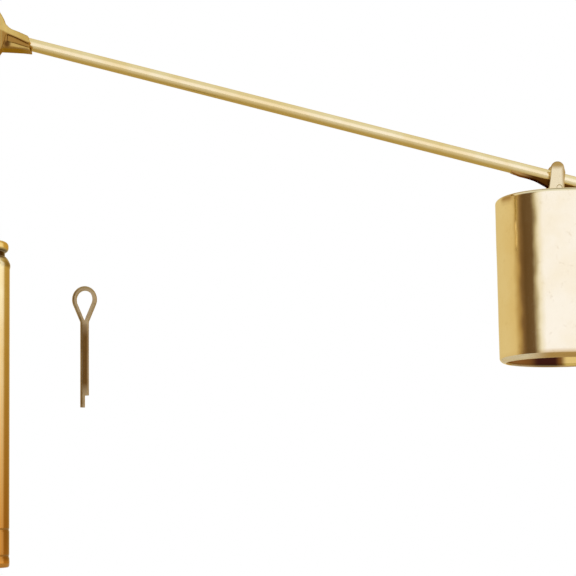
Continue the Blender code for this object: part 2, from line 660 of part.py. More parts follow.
def build():
    clear_scene()
    clamp_top = -TANK_WALL - GAP
    around_shank = SHANK_RADIUS + THREAD_PLAY
    fixed = {
        make_tail_shank(): CAST_BRASS,
        make_washer("tank_washer", around_shank, 0.0175, 0.0, FLANGE_BOTTOM - GAP): BLACK_RUBBER,
        make_washer("clamp_washer", around_shank, 0.0165, clamp_top - 0.0015, clamp_top): WHITE_NYLON,
        make_lock_nut(clamp_top - 0.0018): CAST_BRASS,
        make_coupling_nut(): CAST_BRASS,
        make_cone_washer(): BLACK_RUBBER,
        make_inlet_filter(): WHITE_NYLON,
        make_standpipe(): POLISHED_BRASS,
        make_washer("union_washer", 0.0066, 0.0090, PIPE_TOP + GAP, HEAD_BOTTOM - GAP): BLACK_RUBBER,
        make_union_nut(): CAST_BRASS,
        make_valve_head(): CAST_BRASS,
        make_valve_seat(): WHITE_NYLON,
        make_bonnet_nut(): CAST_BRASS,
        make_stem_ring(): BLACK_RUBBER,
        make_split_pin("fulcrum_split_pin", 0.0290, 0.0250, 0.0190, math.radians(28),
                       (FULCRUM_X, -0.0094, FULCRUM_Z), (math.pi / 2, 0, 0)): DULL_BRONZE,
        make_split_pin("spare_split_pin", 0.0326, 0.0280, 0.0280, 0.0,
                       (SPARE_PIN_X, 0, SPARE_PIN_Z), (0, -SPARE_PIN_LEAN, 0)): DULL_BRONZE,
        make_drop_pipe(): POLISHED_BRASS,
        make_hush_collar(): POLISHED_BRASS,
        make_hush_tube(): POLISHED_BRASS,
    }
    on_lever = {
        make_lever(): CAST_BRASS,
        make_float_rod(): POLISHED_BRASS,
        make_rod_saddle(): CAST_BRASS,
        make_link_pin(): POLISHED_BRASS,
    }
    on_plunger = {
        make_plunger(): POLISHED_BRASS,
        make_washer("seat_washer", 0.0013, 0.0056, 0.1916, 0.1946): BLACK_RUBBER,
        make_washer_screw(): POLISHED_BRASS,
    }
    on_float = {
        make_float_can(): POLISHED_BRASS,
        make_float_clevis(): CAST_BRASS,
        make_float_rivet(): CAST_BRASS,
        make_stud_nut(): CAST_BRASS,
        make_stud_washer(): BLACK_RUBBER,
    }
    for pieces in (fixed, on_lever, on_plunger, on_float):
        for obj, finish in pieces.items():
            give_finish(obj, finish)
    bpy.context.view_layer.update()
    fulcrum = pivot("fulcrum", (FULCRUM_X, 0, FULCRUM_Z))
    slide = pivot("plunger_axis", (0, 0, FULCRUM_Z))
    swing = pivot("float_pivot", (FLOAT_X, 0, RIVET_Z))
    hang_on(fulcrum, *on_lever)
    hang_on(slide, *on_plunger)
    hang_on(swing, *on_float)
    swing.rotation_euler.y = -FLOAT_LEAN


build()
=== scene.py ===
"""The looks of a brass toilet fill valve: fine meshes, procedural materials, soft light and the camera."""

import json
import math

import bmesh
import bpy
from mathutils import Euler, Matrix, Vector, noise


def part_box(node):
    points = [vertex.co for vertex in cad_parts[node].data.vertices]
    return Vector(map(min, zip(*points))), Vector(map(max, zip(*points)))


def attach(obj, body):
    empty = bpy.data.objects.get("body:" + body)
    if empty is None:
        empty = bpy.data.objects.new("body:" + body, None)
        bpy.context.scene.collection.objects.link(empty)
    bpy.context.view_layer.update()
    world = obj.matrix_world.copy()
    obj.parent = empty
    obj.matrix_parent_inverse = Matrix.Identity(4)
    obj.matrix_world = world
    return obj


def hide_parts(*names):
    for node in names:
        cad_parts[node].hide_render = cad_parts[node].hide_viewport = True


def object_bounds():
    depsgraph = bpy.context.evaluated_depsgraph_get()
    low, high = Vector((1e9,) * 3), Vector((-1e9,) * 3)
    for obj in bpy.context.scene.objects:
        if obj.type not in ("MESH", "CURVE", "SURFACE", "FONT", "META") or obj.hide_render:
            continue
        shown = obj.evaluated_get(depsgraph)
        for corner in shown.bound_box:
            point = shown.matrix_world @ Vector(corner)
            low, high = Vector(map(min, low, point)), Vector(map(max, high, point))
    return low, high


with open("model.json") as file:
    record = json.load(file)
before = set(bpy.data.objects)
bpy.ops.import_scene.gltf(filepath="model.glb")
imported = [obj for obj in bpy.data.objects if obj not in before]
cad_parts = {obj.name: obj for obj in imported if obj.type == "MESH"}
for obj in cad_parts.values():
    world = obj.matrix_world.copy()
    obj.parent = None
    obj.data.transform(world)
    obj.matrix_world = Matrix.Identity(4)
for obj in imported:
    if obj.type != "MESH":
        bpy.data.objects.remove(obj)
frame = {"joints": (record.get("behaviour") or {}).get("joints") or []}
cad_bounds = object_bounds()

# Camera: 100 mm lens on a 36 mm sensor, 624 mm from the object, looking up 7.8 degrees
CAMERA_AIM = Vector((0.1454, 0.0, 0.1204))
CAMERA_DISTANCE = 0.624
CAMERA_RISE = math.radians(7.8)
CAMERA_LENS = 100.0
CAMERA_SENSOR = 36.0

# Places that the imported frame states, or that follow from them
JOINTS = {joint["name"]: joint for joint in frame["joints"]}
FULCRUM = Vector(JOINTS["lever_pivot"]["pos_m"])
LINK_AT = Vector((0, 0, FULCRUM.z))
FLOAT_PIVOT = Vector(JOINTS["float_swing"]["pos_m"])
FLOAT_AXIS = (FLOAT_PIVOT.x, 0, 0)
FLOOR_Z = cad_bounds[0][2]

# Driving sizes of the CAD model, in metres, which the frame holds only as boxes
GAP = 0.0003
SHANK_RADIUS = 0.0104
SHANK_BORE = 0.0055
SHANK_BOTTOM = -0.0440
THREAD_PITCH = 0.00181
THREAD_DEPTH = 0.0009
FLANGE_TOP = 0.0070
FLANGE_BOTTOM = 0.0033
PIPE_RADIUS = 0.00795
HUB_RADIUS = 0.0146
HUB_REAR_RADIUS = 0.0128
HUB_HALF = 0.0046
ARM_HALF = 0.0038
ROD_RADIUS = 0.0025
ROD_SLOPE = math.radians(14.60)
ROD_START = Vector((0.0353, 0.0, 0.2202))
ROD_END_X = 0.2615
HUSH_AT = Vector((0.0253, 0.0, 0.1410))
HUSH_TILT = math.radians(1.25)
HUSH_RADIUS = 0.0110
HUSH_NECK = 0.0091
HUSH_LENGTH = 0.1283
DROP_RADIUS = 0.0048
DROP_BORE = 0.0035
DROP_BEND = 0.0080
OUTLET_Z = 0.1900
FLOAT_LEAN = math.radians(0.65)
FLOAT_RADIUS = 0.0246
FLOAT_WALL = 0.0008
FLOAT_TOP = 0.1557
FLOAT_BOTTOM = 0.0913
SPLIT_RADIUS = 0.0016
PIN_HOLE = 0.0019
LINK_HOLE = 0.0015
RIVET_HOLE = 0.0011
SPARE_PIN_AT = (0.0663, 0.0, 0.1065)
SPARE_PIN_LEAN = math.radians(1.0)

# Turns that lay the axis of a lathed piece along another line
ALONG_X = (0, math.pi / 2, 0)
ALONG_Y = (math.pi / 2, 0, 0)
ALONG_ROD = (0, math.pi / 2 + ROD_SLOPE, 0)
ALONG_TUBE = (0, -HUSH_TILT, 0)


# Mesh helpers


def new_object(name, bm, smooth_angle=32.0):
    """An object from a bmesh, with outward normals, smooth except at its edges."""
    bmesh.ops.remove_doubles(bm, verts=bm.verts, dist=1e-7)
    bmesh.ops.recalc_face_normals(bm, faces=bm.faces)
    mesh = bpy.data.meshes.new(name)
    bm.to_mesh(mesh)
    bm.free()
    mesh.shade_smooth()
    mesh.set_sharp_from_angle(angle=math.radians(smooth_angle))
    obj = bpy.data.objects.new(name, mesh)
    bpy.context.scene.collection.objects.link(obj)
    return obj


def skin(name, rings, loop=False, smooth_angle=32.0):
    """Faces between neighbouring rings of points. A ring of one point is a tip, and loop joins last to first."""
    bm = bmesh.new()
    rows = [[bm.verts.new(point) for point in ring] for ring in rings]
    pairs = list(zip(rows, rows[1:]))
    if loop:
        pairs.append((rows[-1], rows[0]))
    for low, high in pairs:
        count = max(len(low), len(high))
        if count == 1:
            continue
        for i in range(count):
            j = (i + 1) % count
            if len(low) == 1:
                bm.faces.new((low[0], high[i], high[j]))
            elif len(high) == 1:
                bm.faces.new((low[i], high[0], low[j]))
            else:
                bm.faces.new((low[i], high[i], high[j], low[j]))
    return new_object(name, bm, smooth_angle)


def rounded(profile, radius, steps=3):
    """The same section with each corner off the axis rounded by a short curve."""
    result = []
    for i, point in enumerate(profile):
        here = Vector(point)
        into = Vector(profile[i - 1]) - here
        out = Vector(profile[(i + 1) % len(profile)]) - here
        straight = into.angle(out, math.pi) > math.radians(168)
        if point[0] == 0 or straight:
            result.append(tuple(here))
            continue
        cut = min(radius, 0.45 * into.length, 0.45 * out.length)
        start, end = here + into.normalized() * cut, here + out.normalized() * cut
        for j in range(steps + 1):
            part = j / steps
            result.append(tuple(start * (1 - part) ** 2 + here * 2 * part * (1 - part) + end * part ** 2))
    return result


def ring_at(radius, z, segments):
    """A ring about the Z axis. The radius and the height may be numbers or functions of the angle."""
    if radius == 0:
        return [Vector((0, 0, z))]
    points = []
    for i in range(segments):
        angle = math.tau * i / segments
        reach = radius(angle) if callable(radius) else radius
        height = z(angle) if callable(z) else z
        points.append(Vector((reach * math.cos(angle), reach * math.sin(angle), height)))
    return points


def rings_at(section, segments):
    """A ring about the Z axis for each (radius, z) of a section."""
    return [ring_at(radius, z, segments) for radius, z in section]


def lathe(name, profile, segments=96, fillet=0.0002, location=(0, 0, 0), rotation=(0, 0, 0)):
    """Revolves a section of (radius, z) points about the Z axis, then sets the piece in its place."""
    solid = profile[0][0] == 0
    section = rounded(profile, fillet) if fillet else profile
    obj = skin(name, rings_at(section, segments), loop=not solid)
    place(obj, location, rotation)
    return obj


def band(inner, outer, low, high):
    """A rectangular section for lathe, which is a solid cylinder if inner is 0."""
    return [(inner, low), (outer, low), (outer, high), (inner, high)]


def place(obj, location, rotation=(0, 0, 0)):
    """Turns a mesh about its origin and sets it in its place."""
    obj.data.transform(Matrix.Translation(location) @ Euler(rotation).to_matrix().to_4x4())


def arc(x, z, radius, start, end, steps):
    """Points on an arc, with the angles in degrees from +X towards +Z."""
    angles = [math.radians(start + (end - start) * i / steps) for i in range(steps + 1)]
    return [(x + radius * math.cos(a), z + radius * math.sin(a)) for a in angles]


def prism(name, outline, low_y, high_y, edge=0.0):
    """Extrudes an outline of (x, z) points along Y. An edge above 0 bevels the rims of both ends."""
    bm = bmesh.new()
    face = bm.faces.new([bm.verts.new((x, low_y, z)) for x, z in outline])
    made = bmesh.ops.extrude_face_region(bm, geom=[face])["geom"]
    moved = [item for item in made if isinstance(item, bmesh.types.BMVert)]
    bmesh.ops.translate(bm, verts=moved, vec=(0, high_y - low_y, 0))
    if edge:
        rims = [e for e in bm.edges if abs(e.verts[0].co.y - e.verts[1].co.y) < 1e-7]
        bmesh.ops.bevel(bm, geom=rims, offset=edge, segments=3, profile=0.5, affect="EDGES")
    return new_object(name, bm)


def both_sides(name, outline, near, far, edge=0.0):
    """Two prisms of one outline, each from near to far of the XZ plane on its own side."""
    return [prism(name, outline, *sorted((side * near, side * far)), edge) for side in (-1, 1)]


def cross_rod(name, at, radius, half):
    """A plain rod along Y, to cut a hole across the valve."""
    return lathe(name, band(0, radius, 0, 2 * half), 48, 0, (at.x, half, at.z), ALONG_Y)


def block(name, low, high):
    """A box between two corners."""
    outline = [(low[0], low[2]), (high[0], low[2]), (high[0], high[2]), (low[0], high[2])]
    return prism(name, outline, low[1], high[1])


def evaluated(obj):
    """Applies the object's modifiers to its own mesh."""
    graph = bpy.context.evaluated_depsgraph_get()
    mesh = bpy.data.meshes.new_from_object(obj.evaluated_get(graph))
    old = obj.data
    obj.modifiers.clear()
    obj.data = mesh
    bpy.data.meshes.remove(old)
    return obj


def fuse(obj, joined=(), cut=()):
    """Joins and cuts with other objects, which are used up."""
    for tools, operation in ((joined, "UNION"), (cut, "DIFFERENCE")):
        for tool in tools:
            modifier = obj.modifiers.new(operation, "BOOLEAN")
            modifier.operation = operation
            modifier.solver = "EXACT"
            modifier.object = tool
    evaluated(obj)
    for tool in (*joined, *cut):
        bpy.data.objects.remove(tool, do_unlink=True)
    return obj


def cast(obj, voxel, rounds):
    """Gives a joined solid the soft edges of a casting, with an even fine mesh."""
    remesh = obj.modifiers.new("even", "REMESH")
    remesh.mode = "VOXEL"
    remesh.voxel_size = voxel
    soften = obj.modifiers.new("soften", "SMOOTH")
    soften.factor = 0.5
    soften.iterations = rounds
    evaluated(obj)
    obj.data.shade_smooth()
    return obj


def thread_rings(low, high, radius, depth, pitch, segments, rows_per_turn=8):
    """Rings of an external thread, fading out over its first and last half turn."""
    rows = max(2, round((high - low) / pitch * rows_per_turn))

    def crest(z):
        fade = min(1.0, (z - low) / (pitch / 2), (high - z) / (pitch / 2))

        def reach(angle):
            part = (z / pitch - angle / math.tau) % 1.0
            tooth = min(1.0, max(0.0, (abs(2 * part - 1) - 0.12) / 0.76))
            return radius - depth * fade * tooth
        return reach

    heights = [low + (high - low) * i / rows for i in range(rows + 1)]
    return rings_at([(crest(z), z) for z in heights], segments)


def hex_nut(name, flats, low, high, rest, location=(0, 0, 0), segments=144):
    """A chamfered hexagon nut. The rest of its section runs from its lower face through the bore to its upper face."""
    half = flats / 2
    corner = half / math.cos(math.pi / 6) - 0.0004
    land = half * 0.95
    soft = 0.00015

    def side(angle):
        return min(corner, half / math.cos((angle + math.pi / 6) % (math.pi / 3) - math.pi / 6))

    def chamfer(angle):
        return (side(angle) - land) * math.tan(math.pi / 6)

    def softened(angle):
        return side(angle) - soft

    section = [
        (land, high), (softened, lambda a: high - chamfer(a)), (side, lambda a: high - chamfer(a) - soft),
        (side, lambda a: low + chamfer(a) + soft), (softened, lambda a: low + chamfer(a)), (land, low), *rest,
    ]
    nut = skin(name, rings_at(section, segments), loop=True, smooth_angle=24)
    place(nut, location)
    return nut


def plain_bore(radius, low, high, lead=0.0006):
    """The part of a nut's section inside it: a bore with a lead at each end."""
    return [(radius + lead, low), (radius, low + lead), (radius, high - lead), (radius + lead, high)]


def path_rings(path, section):
    """Rings of (offset, y) points carried along a path of (x, z) points in the XZ plane."""
    rings = []
    for i, point in enumerate(path):
        here = Vector(point)
        into = (here - Vector(path[i - 1])).normalized() if i else None
        out = (Vector(path[i + 1]) - here).normalized() if i < len(path) - 1 else into
        into = into or out
        along = (into + out).normalized()
        side = Vector((-along.y, along.x)) / max(along.dot(out), 0.5)
        rings.append([Vector((here.x + side.x * n, y, here.y + side.y * n)) for n, y in section])
    return rings


def capped(rings):
    """Rings closed at both ends by a point in the middle of the first and the last."""
    def middle(ring):
        return [sum(ring, Vector()) / len(ring)]
    return [middle(rings[0])] + rings + [middle(rings[-1])]


def z_span(node):
    """The lowest and the highest z of a node's CAD box."""
    low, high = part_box(node)
    return low.z, high.z


def mark(obj, name, measure):
    """Stores a number from 0 to 1 at each point of a mesh, for its material."""
    attribute = obj.data.attributes.new(name, "FLOAT", "POINT")
    values = [min(1.0, max(0.0, measure(vert.co))) for vert in obj.data.vertices]
    attribute.data.foreach_set("value", values)


def ramp(value, low, high):
    """A smooth step from 0 at low to 1 at high."""
    part = min(1.0, max(0.0, (value - low) / (high - low)))
    return part * part * (3 - 2 * part)


# Materials


def opaque(value):
    """A colour of three numbers with its alpha. A socket stays as it is."""
    return (*value, 1.0) if isinstance(value, tuple) else value


class Nodes:
    """A node tree, filled by short calls. An input is given as a number, a colour or the socket it is joined to."""

    def __init__(self, tree):
        self.tree = tree

    def feed(self, socket, value):
        if isinstance(value, bpy.types.NodeSocket):
            self.tree.links.new(value, socket)
        else:
            socket.default_value = value

    def add(self, kind, inputs=None, **settings):
        """A new node with its settings, and its inputs by name or by number."""
        node = self.tree.nodes.new(kind)
        for key, value in settings.items():
            setattr(node, key, value)
        for key, value in (inputs or {}).items():
            self.feed(node.inputs[key], value)
        return node

    def spread(self, source, taken, given=(0.0, 1.0)):
        """A value carried smoothly from the range taken to the range given."""
        inputs = {"Value": source, "From Min": taken[0], "From Max": taken[1], "To Min": given[0], "To Max": given[1]}
        return self.add("ShaderNodeMapRange", inputs, interpolation_type="SMOOTHSTEP").outputs["Result"]

    def mix(self, factor, first, second):
        """Colour first where factor is 0, and second where it is 1."""
        inputs = {0: factor, 6: opaque(first), 7: opaque(second)}
        return self.add("ShaderNodeMix", inputs, data_type="RGBA").outputs[2]

    def math(self, operation, first, second):
        return self.add("ShaderNodeMath", {0: first, 1: second}, operation=operation).outputs[0]


class Surface(Nodes):
    """The nodes of a new material."""

    def __init__(self, name):
        self.material = bpy.data.materials.new(name)
        self.material.use_nodes = True
        super().__init__(self.material.node_tree)
        self.shader = self.tree.nodes["Principled BSDF"]
        self.position = self.add("ShaderNodeTexCoord").outputs["Object"]

    def set(self, name, value):
        self.feed(self.shader.inputs[name], value)

    def noise(self, scale, detail=3.0, rough=0.5, stretch=(1, 1, 1), distortion=0.0):
        """Noise whose features are 1 / scale metres across, drawn out along an axis by stretch."""
        mapping = self.add("ShaderNodeMapping", {"Vector": self.position, "Scale": stretch})
        inputs = {"Vector": mapping.outputs["Vector"], "Scale": scale, "Detail": detail, "Roughness": rough,
                  "Distortion": distortion}
        return self.add("ShaderNodeTexNoise", inputs).outputs["Fac"]

    def bump(self, height, strength, distance):
        """Adds a relief to the surface, on top of any relief that it has."""
        node = self.add("ShaderNodeBump", {"Height": height, "Strength": strength, "Distance": distance})
        previous = self.shader.inputs["Normal"].links
        if previous:
            self.feed(node.inputs["Normal"], previous[0].from_socket)
        self.set("Normal", node.outputs["Normal"])


# The range that nearly all of a noise falls in
NOISE_RANGE = (0.3, 0.7)

# Noise of the brasses, in features per metre, and the depth of each relief in metres
BROAD_SCALE = 70.0
RIPPLE_SCALE, RIPPLE_DEPTH = 200.0, 0.00012
SPOT_SCALE = 420.0
GLOSS_SCALE = 900.0
PIT_SCALE, PIT_DEPTH = 1500.0, 0.00012
LINE_SCALE, LINE_DEPTH = 2600.0, 0.00002

# Roughness of the clear coat, and how much rougher the tarnished spots are
COAT_ROUGHNESS = 0.12
SPOT_ROUGHNESS = 0.15


def brass(name, light, deep, tarnish, rough, grain=(1, 1, 1), patches=0.5, underside=0.0, masks=(), coat=0.12,
          edge=(0.9, 0.8, 0.6), drawn=0.12, ripple=0.0, pits=0.0, turned_under=0.05):
    """Brass: two tones in broad patches, tarnish in spots, drawn grain in its gloss and its surface.

    Faces turned down, from where the normal points down by turned_under, take the tarnish colour as painted shade, as
    much as underside. Each of masks is a mark stored on the mesh and the colour that it brings.
    """
    nodes = Surface(name)
    nodes.set("Metallic", 1.0)
    nodes.set("Specular Tint", opaque(edge))
    nodes.set("Coat Weight", coat)
    nodes.set("Coat Roughness", COAT_ROUGHNESS)
    colour = nodes.mix(nodes.spread(nodes.noise(BROAD_SCALE), (0.35, 0.68)), light, deep)
    spots = nodes.spread(nodes.noise(SPOT_SCALE, 5.0, 0.62, distortion=0.4), (0.56, 0.74), (0.0, patches))
    colour = nodes.mix(spots, colour, tarnish)
    # Painted shade: faces that turn down are darkened towards the tarnish colour.
    if underside:
        normal = nodes.add("ShaderNodeNewGeometry").outputs["Normal"]
        split = nodes.add("ShaderNodeSeparateXYZ", {"Vector": normal})
        down = nodes.math("MULTIPLY", split.outputs["Z"], -1.0)
        colour = nodes.mix(nodes.spread(down, (turned_under, 0.8), (0.0, underside)), colour, tarnish)
    for mask, tone in masks:
        stored = nodes.add("ShaderNodeAttribute", attribute_name=mask).outputs["Fac"]
        colour = nodes.mix(stored, colour, tone)
    nodes.set("Base Color", colour)
    lines = nodes.noise(LINE_SCALE, 2.0, 0.6, stretch=grain)
    fine = nodes.noise(GLOSS_SCALE, 4.0, 0.6)
    uneven = nodes.math("ADD", nodes.math("MULTIPLY", lines, 0.5), nodes.math("MULTIPLY", fine, 0.5))
    gloss = nodes.spread(uneven, NOISE_RANGE, rough)
    nodes.set("Roughness", nodes.math("ADD", gloss, nodes.math("MULTIPLY", spots, SPOT_ROUGHNESS)))
    nodes.bump(lines, drawn, LINE_DEPTH)
    if ripple:
        nodes.bump(nodes.noise(RIPPLE_SCALE, 0.0), ripple, RIPPLE_DEPTH)
    if pits:
        nodes.bump(nodes.noise(PIT_SCALE, 4.0, 0.65), pits, PIT_DEPTH)
    return nodes.material


def moulded(name, light, deep, rough, scales, detail, relief, scatter=0.0):
    """Rubber or plastic: two tones in patches, uneven gloss and a fine grain, at three scales."""
    nodes = Surface(name)
    patches, gloss, grain = scales
    nodes.set("Base Color", nodes.mix(nodes.spread(nodes.noise(patches, detail), NOISE_RANGE), light, deep))
    nodes.set("Roughness", nodes.spread(nodes.noise(gloss, detail), NOISE_RANGE, rough))
    if scatter:
        nodes.set("Subsurface Weight", scatter)
        nodes.set("Subsurface Radius", (0.002, 0.002, 0.0015))
    nodes.bump(nodes.noise(grain), *relief)
    return nodes.material


BRIGHT = (0.93, 0.80, 0.50)
PALE = (0.94, 0.85, 0.63)
GOLD = (0.88, 0.70, 0.36)
BROWN = (0.36, 0.20, 0.06)
SHADE_DARK = (0.08, 0.03, 0.008)

MATERIALS = {
    # Spun can: the inner faces, their darkest middle, the rolled lip and a patch on the shoulder are painted shade,
    # and the inner wall towards the right has a painted reflection of light.
    "can": brass(
        "brass_spun", light=PALE, deep=(0.92, 0.81, 0.56), tarnish=(0.60, 0.42, 0.18), rough=(0.06, 0.13),
        grain=(1, 1, 0.04), patches=0.2, ripple=0.7,
        masks=(("inside", (0.17, 0.062, 0.008)), ("core_shade", (0.04, 0.006, 0.001)), ("inner_painted_light", (0.72, 0.50, 0.15)),
               ("lip", (0.50, 0.28, 0.05)), ("painted_shade_patch", (0.34, 0.17, 0.03)))),
    # Drawn rod: its underside is painted darker as shade, in its tarnish colour.
    "rod": brass(
        "brass_drawn", light=BRIGHT, deep=GOLD, tarnish=(0.62, 0.42, 0.11), rough=(0.10, 0.18),
        grain=(0.03, 1, 1), patches=0.2, underside=1.0, turned_under=0.28, coat=0.05),
    # Tube: the inner faces, and the grooves and shoulder on the float's side, are painted shade.
    "tube": brass(
        "brass_tube", light=BRIGHT, deep=GOLD, tarnish=BROWN, rough=(0.08, 0.16),
        grain=(1, 1, 0.03), patches=0.2, drawn=0.06,
        masks=(("warm", (0.92, 0.70, 0.25)), ("lower", (0.55, 0.23, 0.035)), ("inside", SHADE_DARK), ("painted_shade_patch", SHADE_DARK))),
    # Turned pieces: the collar's neck under its bead is painted shade.
    "turned": brass(
        "brass_turned", light=(0.80, 0.60, 0.24), deep=(0.70, 0.48, 0.16), tarnish=BROWN, rough=(0.14, 0.26),
        grain=(1, 1, 0.3), patches=0.3, coat=0.05, masks=(("painted_neck_shade", (0.05, 0.018, 0.005)),)),
    "machined": brass(
        "brass_machined", light=(0.80, 0.62, 0.28), deep=(0.68, 0.48, 0.18), tarnish=BROWN, rough=(0.22, 0.36),
        grain=(1, 1, 0.2), patches=0.4),
    # Cast pieces: undersides, the hollows of the lever's arm and the pit by its hub are painted shade.
    "cast": brass(
        "brass_cast", light=(0.68, 0.49, 0.15), deep=(0.56, 0.37, 0.09), tarnish=(0.46, 0.29, 0.13),
        rough=(0.28, 0.42), patches=0.35, underside=0.85, coat=0.0, edge=(0.72, 0.55, 0.3), pits=0.3,
        masks=(("recess", (0.36, 0.19, 0.04)), ("deep", (0.06, 0.015, 0.002)))),
    # Pressed clevis: the top and the right edge of the tongues are painted shade.
    "clevis": brass(
        "brass_pressed", light=(0.82, 0.70, 0.43), deep=(0.80, 0.66, 0.38), tarnish=BROWN, rough=(0.2, 0.3),
        grain=(1, 1, 0.2), patches=0.15, coat=0.05, drawn=0.02, masks=(("rim", (0.42, 0.27, 0.08)),)),
    # Near-black brass of the rod's saddle: painted shade under the rod, darker still on its underside, with the thin
    # left end painted lighter.
    "saddle_shade": brass(
        "brass_saddle_shade", light=(0.10, 0.036, 0.004), deep=(0.06, 0.018, 0.002), tarnish=(0.03, 0.01, 0.002),
        rough=(0.35, 0.5), underside=0.5, coat=0.0, edge=(0.3, 0.14, 0.04), pits=0.4,
        masks=(("thin", (0.46, 0.26, 0.08)),)),
    # Split pins: the seam between the legs is painted shade.
    "bronze": brass(
        "bronze_tarnished", light=(0.44, 0.33, 0.18), deep=(0.32, 0.21, 0.09), tarnish=(0.12, 0.06, 0.02),
        rough=(0.3, 0.46), grain=(1, 1, 0.1), patches=0.4, coat=0.05, pits=0.3,
        masks=(("core_shade", (0.13, 0.06, 0.012)),)),
    "rubber": moulded(
        "rubber_black", light=(0.012, 0.012, 0.012), deep=(0.035, 0.033, 0.031), rough=(0.55, 0.8),
        scales=(600.0, 1500.0, 3000.0), detail=4.0, relief=(0.25, 0.00005)),
    "nylon": moulded(
        "nylon_white", light=(0.80, 0.79, 0.74), deep=(0.74, 0.72, 0.65), rough=(0.35, 0.5),
        scales=(180.0, 900.0, 1200.0), detail=3.0, relief=(0.12, 0.00004), scatter=0.15),
}


# Supply side


def tail_shank():
    """Threaded tail with its flange, the socket above and the bore through it."""
    segments = 96
    lead, flange, boss, crown = 0.0027, 0.0180, 0.0113, 0.0098
    socket, floor, top = PIPE_RADIUS + GAP, 0.0050, 0.0140
    foot = [(SHANK_BORE + lead, SHANK_BOTTOM), (SHANK_RADIUS - 0.0011, SHANK_BOTTOM)]
    above = [
        (SHANK_RADIUS - 0.0004, FLANGE_BOTTOM - 0.0008), (SHANK_RADIUS, FLANGE_BOTTOM),
        (flange - 0.0002, FLANGE_BOTTOM), (flange, FLANGE_BOTTOM + 0.0003), (flange, FLANGE_TOP - 0.0007),
        (flange - 0.0007, FLANGE_TOP), (boss + 0.0005, FLANGE_TOP), (boss, FLANGE_TOP + 0.0004),
        (crown + 0.0008, top - 0.0010), (crown, top), (socket, top), (socket, floor), (SHANK_BORE, floor),
        (SHANK_BORE, SHANK_BOTTOM + lead),
    ]
    thread = thread_rings(SHANK_BOTTOM + 0.0008, FLANGE_BOTTOM - 0.0012, SHANK_RADIUS, THREAD_DEPTH, THREAD_PITCH,
                          segments)
    rings = rings_at(foot, segments) + thread + rings_at(above, segments)
    return skin("tail_shank_fine", rings, loop=True, smooth_angle=40)


def washer(node, inner, outer):
    """A flat washer as thick as the CAD box of its node, on that box's centre line."""
    low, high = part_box(node)
    section = band(inner, outer, low.z, high.z)
    return lathe(f"{node}_fine", section, 96, 0.0004, (((low + high) / 2).x, 0, 0))


def lock_nut():
    """Nut that clamps the tail from below."""
    low, high = z_span("lock_nut")
    return hex_nut("lock_nut_fine", 0.0300, low, high, plain_bore(SHANK_RADIUS + 0.0004, low, high))


def coupling_nut():
    """Nut with an inward lip at its foot, for the supply pipe."""
    low, high = z_span("coupling_nut")
    bore, mouth, lip, lead = SHANK_RADIUS + 0.0004, 0.0060, 0.0020, 0.0006
    rest = [(mouth + lead, low), (mouth, low + lead), (mouth, low + lip), (bore, low + lip), (bore, high - lead),
            (bore + lead, high)]
    return hex_nut("coupling_nut_fine", 0.0270, low, high, rest)


def cone_washer():
    """Rubber washer with a straight foot and a tapered top."""
    low, high = z_span("cone_washer")
    bore, crown, outer, foot = 0.0036, 0.0050, 0.0098, 0.0032
    profile = [(bore, low), (outer, low), (outer, low + foot), (crown, high), (bore, high)]
    return lathe("cone_washer_fine", profile, 96, 0.0004)


def inlet_filter():
    """Thimble strainer: a rim below, slots along its side and a closed top."""
    low, high = z_span("inlet_filter")
    mouth, rim, crown, roof, wall = 0.0041, 0.0050, 0.0042, 0.0033, 0.0010
    profile = [(mouth, low), (rim, low), (crown, high), (0, high), (0, high - wall), (roof, high - wall)]
    thimble = skin("inlet_filter_fine", rings_at(profile, 60), loop=True)
    slots = []
    for i in range(3):
        slot = block(f"slot_{i}", (-0.0070, -0.0006, low + 0.0040), (0.0070, 0.0006, high - 0.0030))
        slot.data.transform(Matrix.Rotation(i * math.pi / 3, 4, "Z"))
        slots.append(slot)
    return fuse(thimble, cut=slots)


# Standpipe and head


def standpipe():
    """Supply pipe with a collar at its upper end."""
    low, high = z_span("standpipe")
    inner, collar = PIPE_RADIUS - 0.0013, 0.0092
    profile = [(inner, low), (PIPE_RADIUS, low), (PIPE_RADIUS, high - 0.0027), (collar, high - 0.0020),
               (collar, high), (inner, high)]
    return lathe("standpipe_fine", profile, 112, 0.0003)


def union_nut():
    """Nut that holds the standpipe's collar to the head."""
    low, high = z_span("union_nut")
    bore, lip, seat, lead = 0.0098, PIPE_RADIUS + GAP, low + 0.0026, 0.0006
    rest = [(lip + 0.0004, low), (lip, low + 0.0004), (lip, seat), (bore, seat), (bore, high - lead),
            (bore + lead, high)]
    return hex_nut("union_nut_fine", 0.0230, low, high, rest)


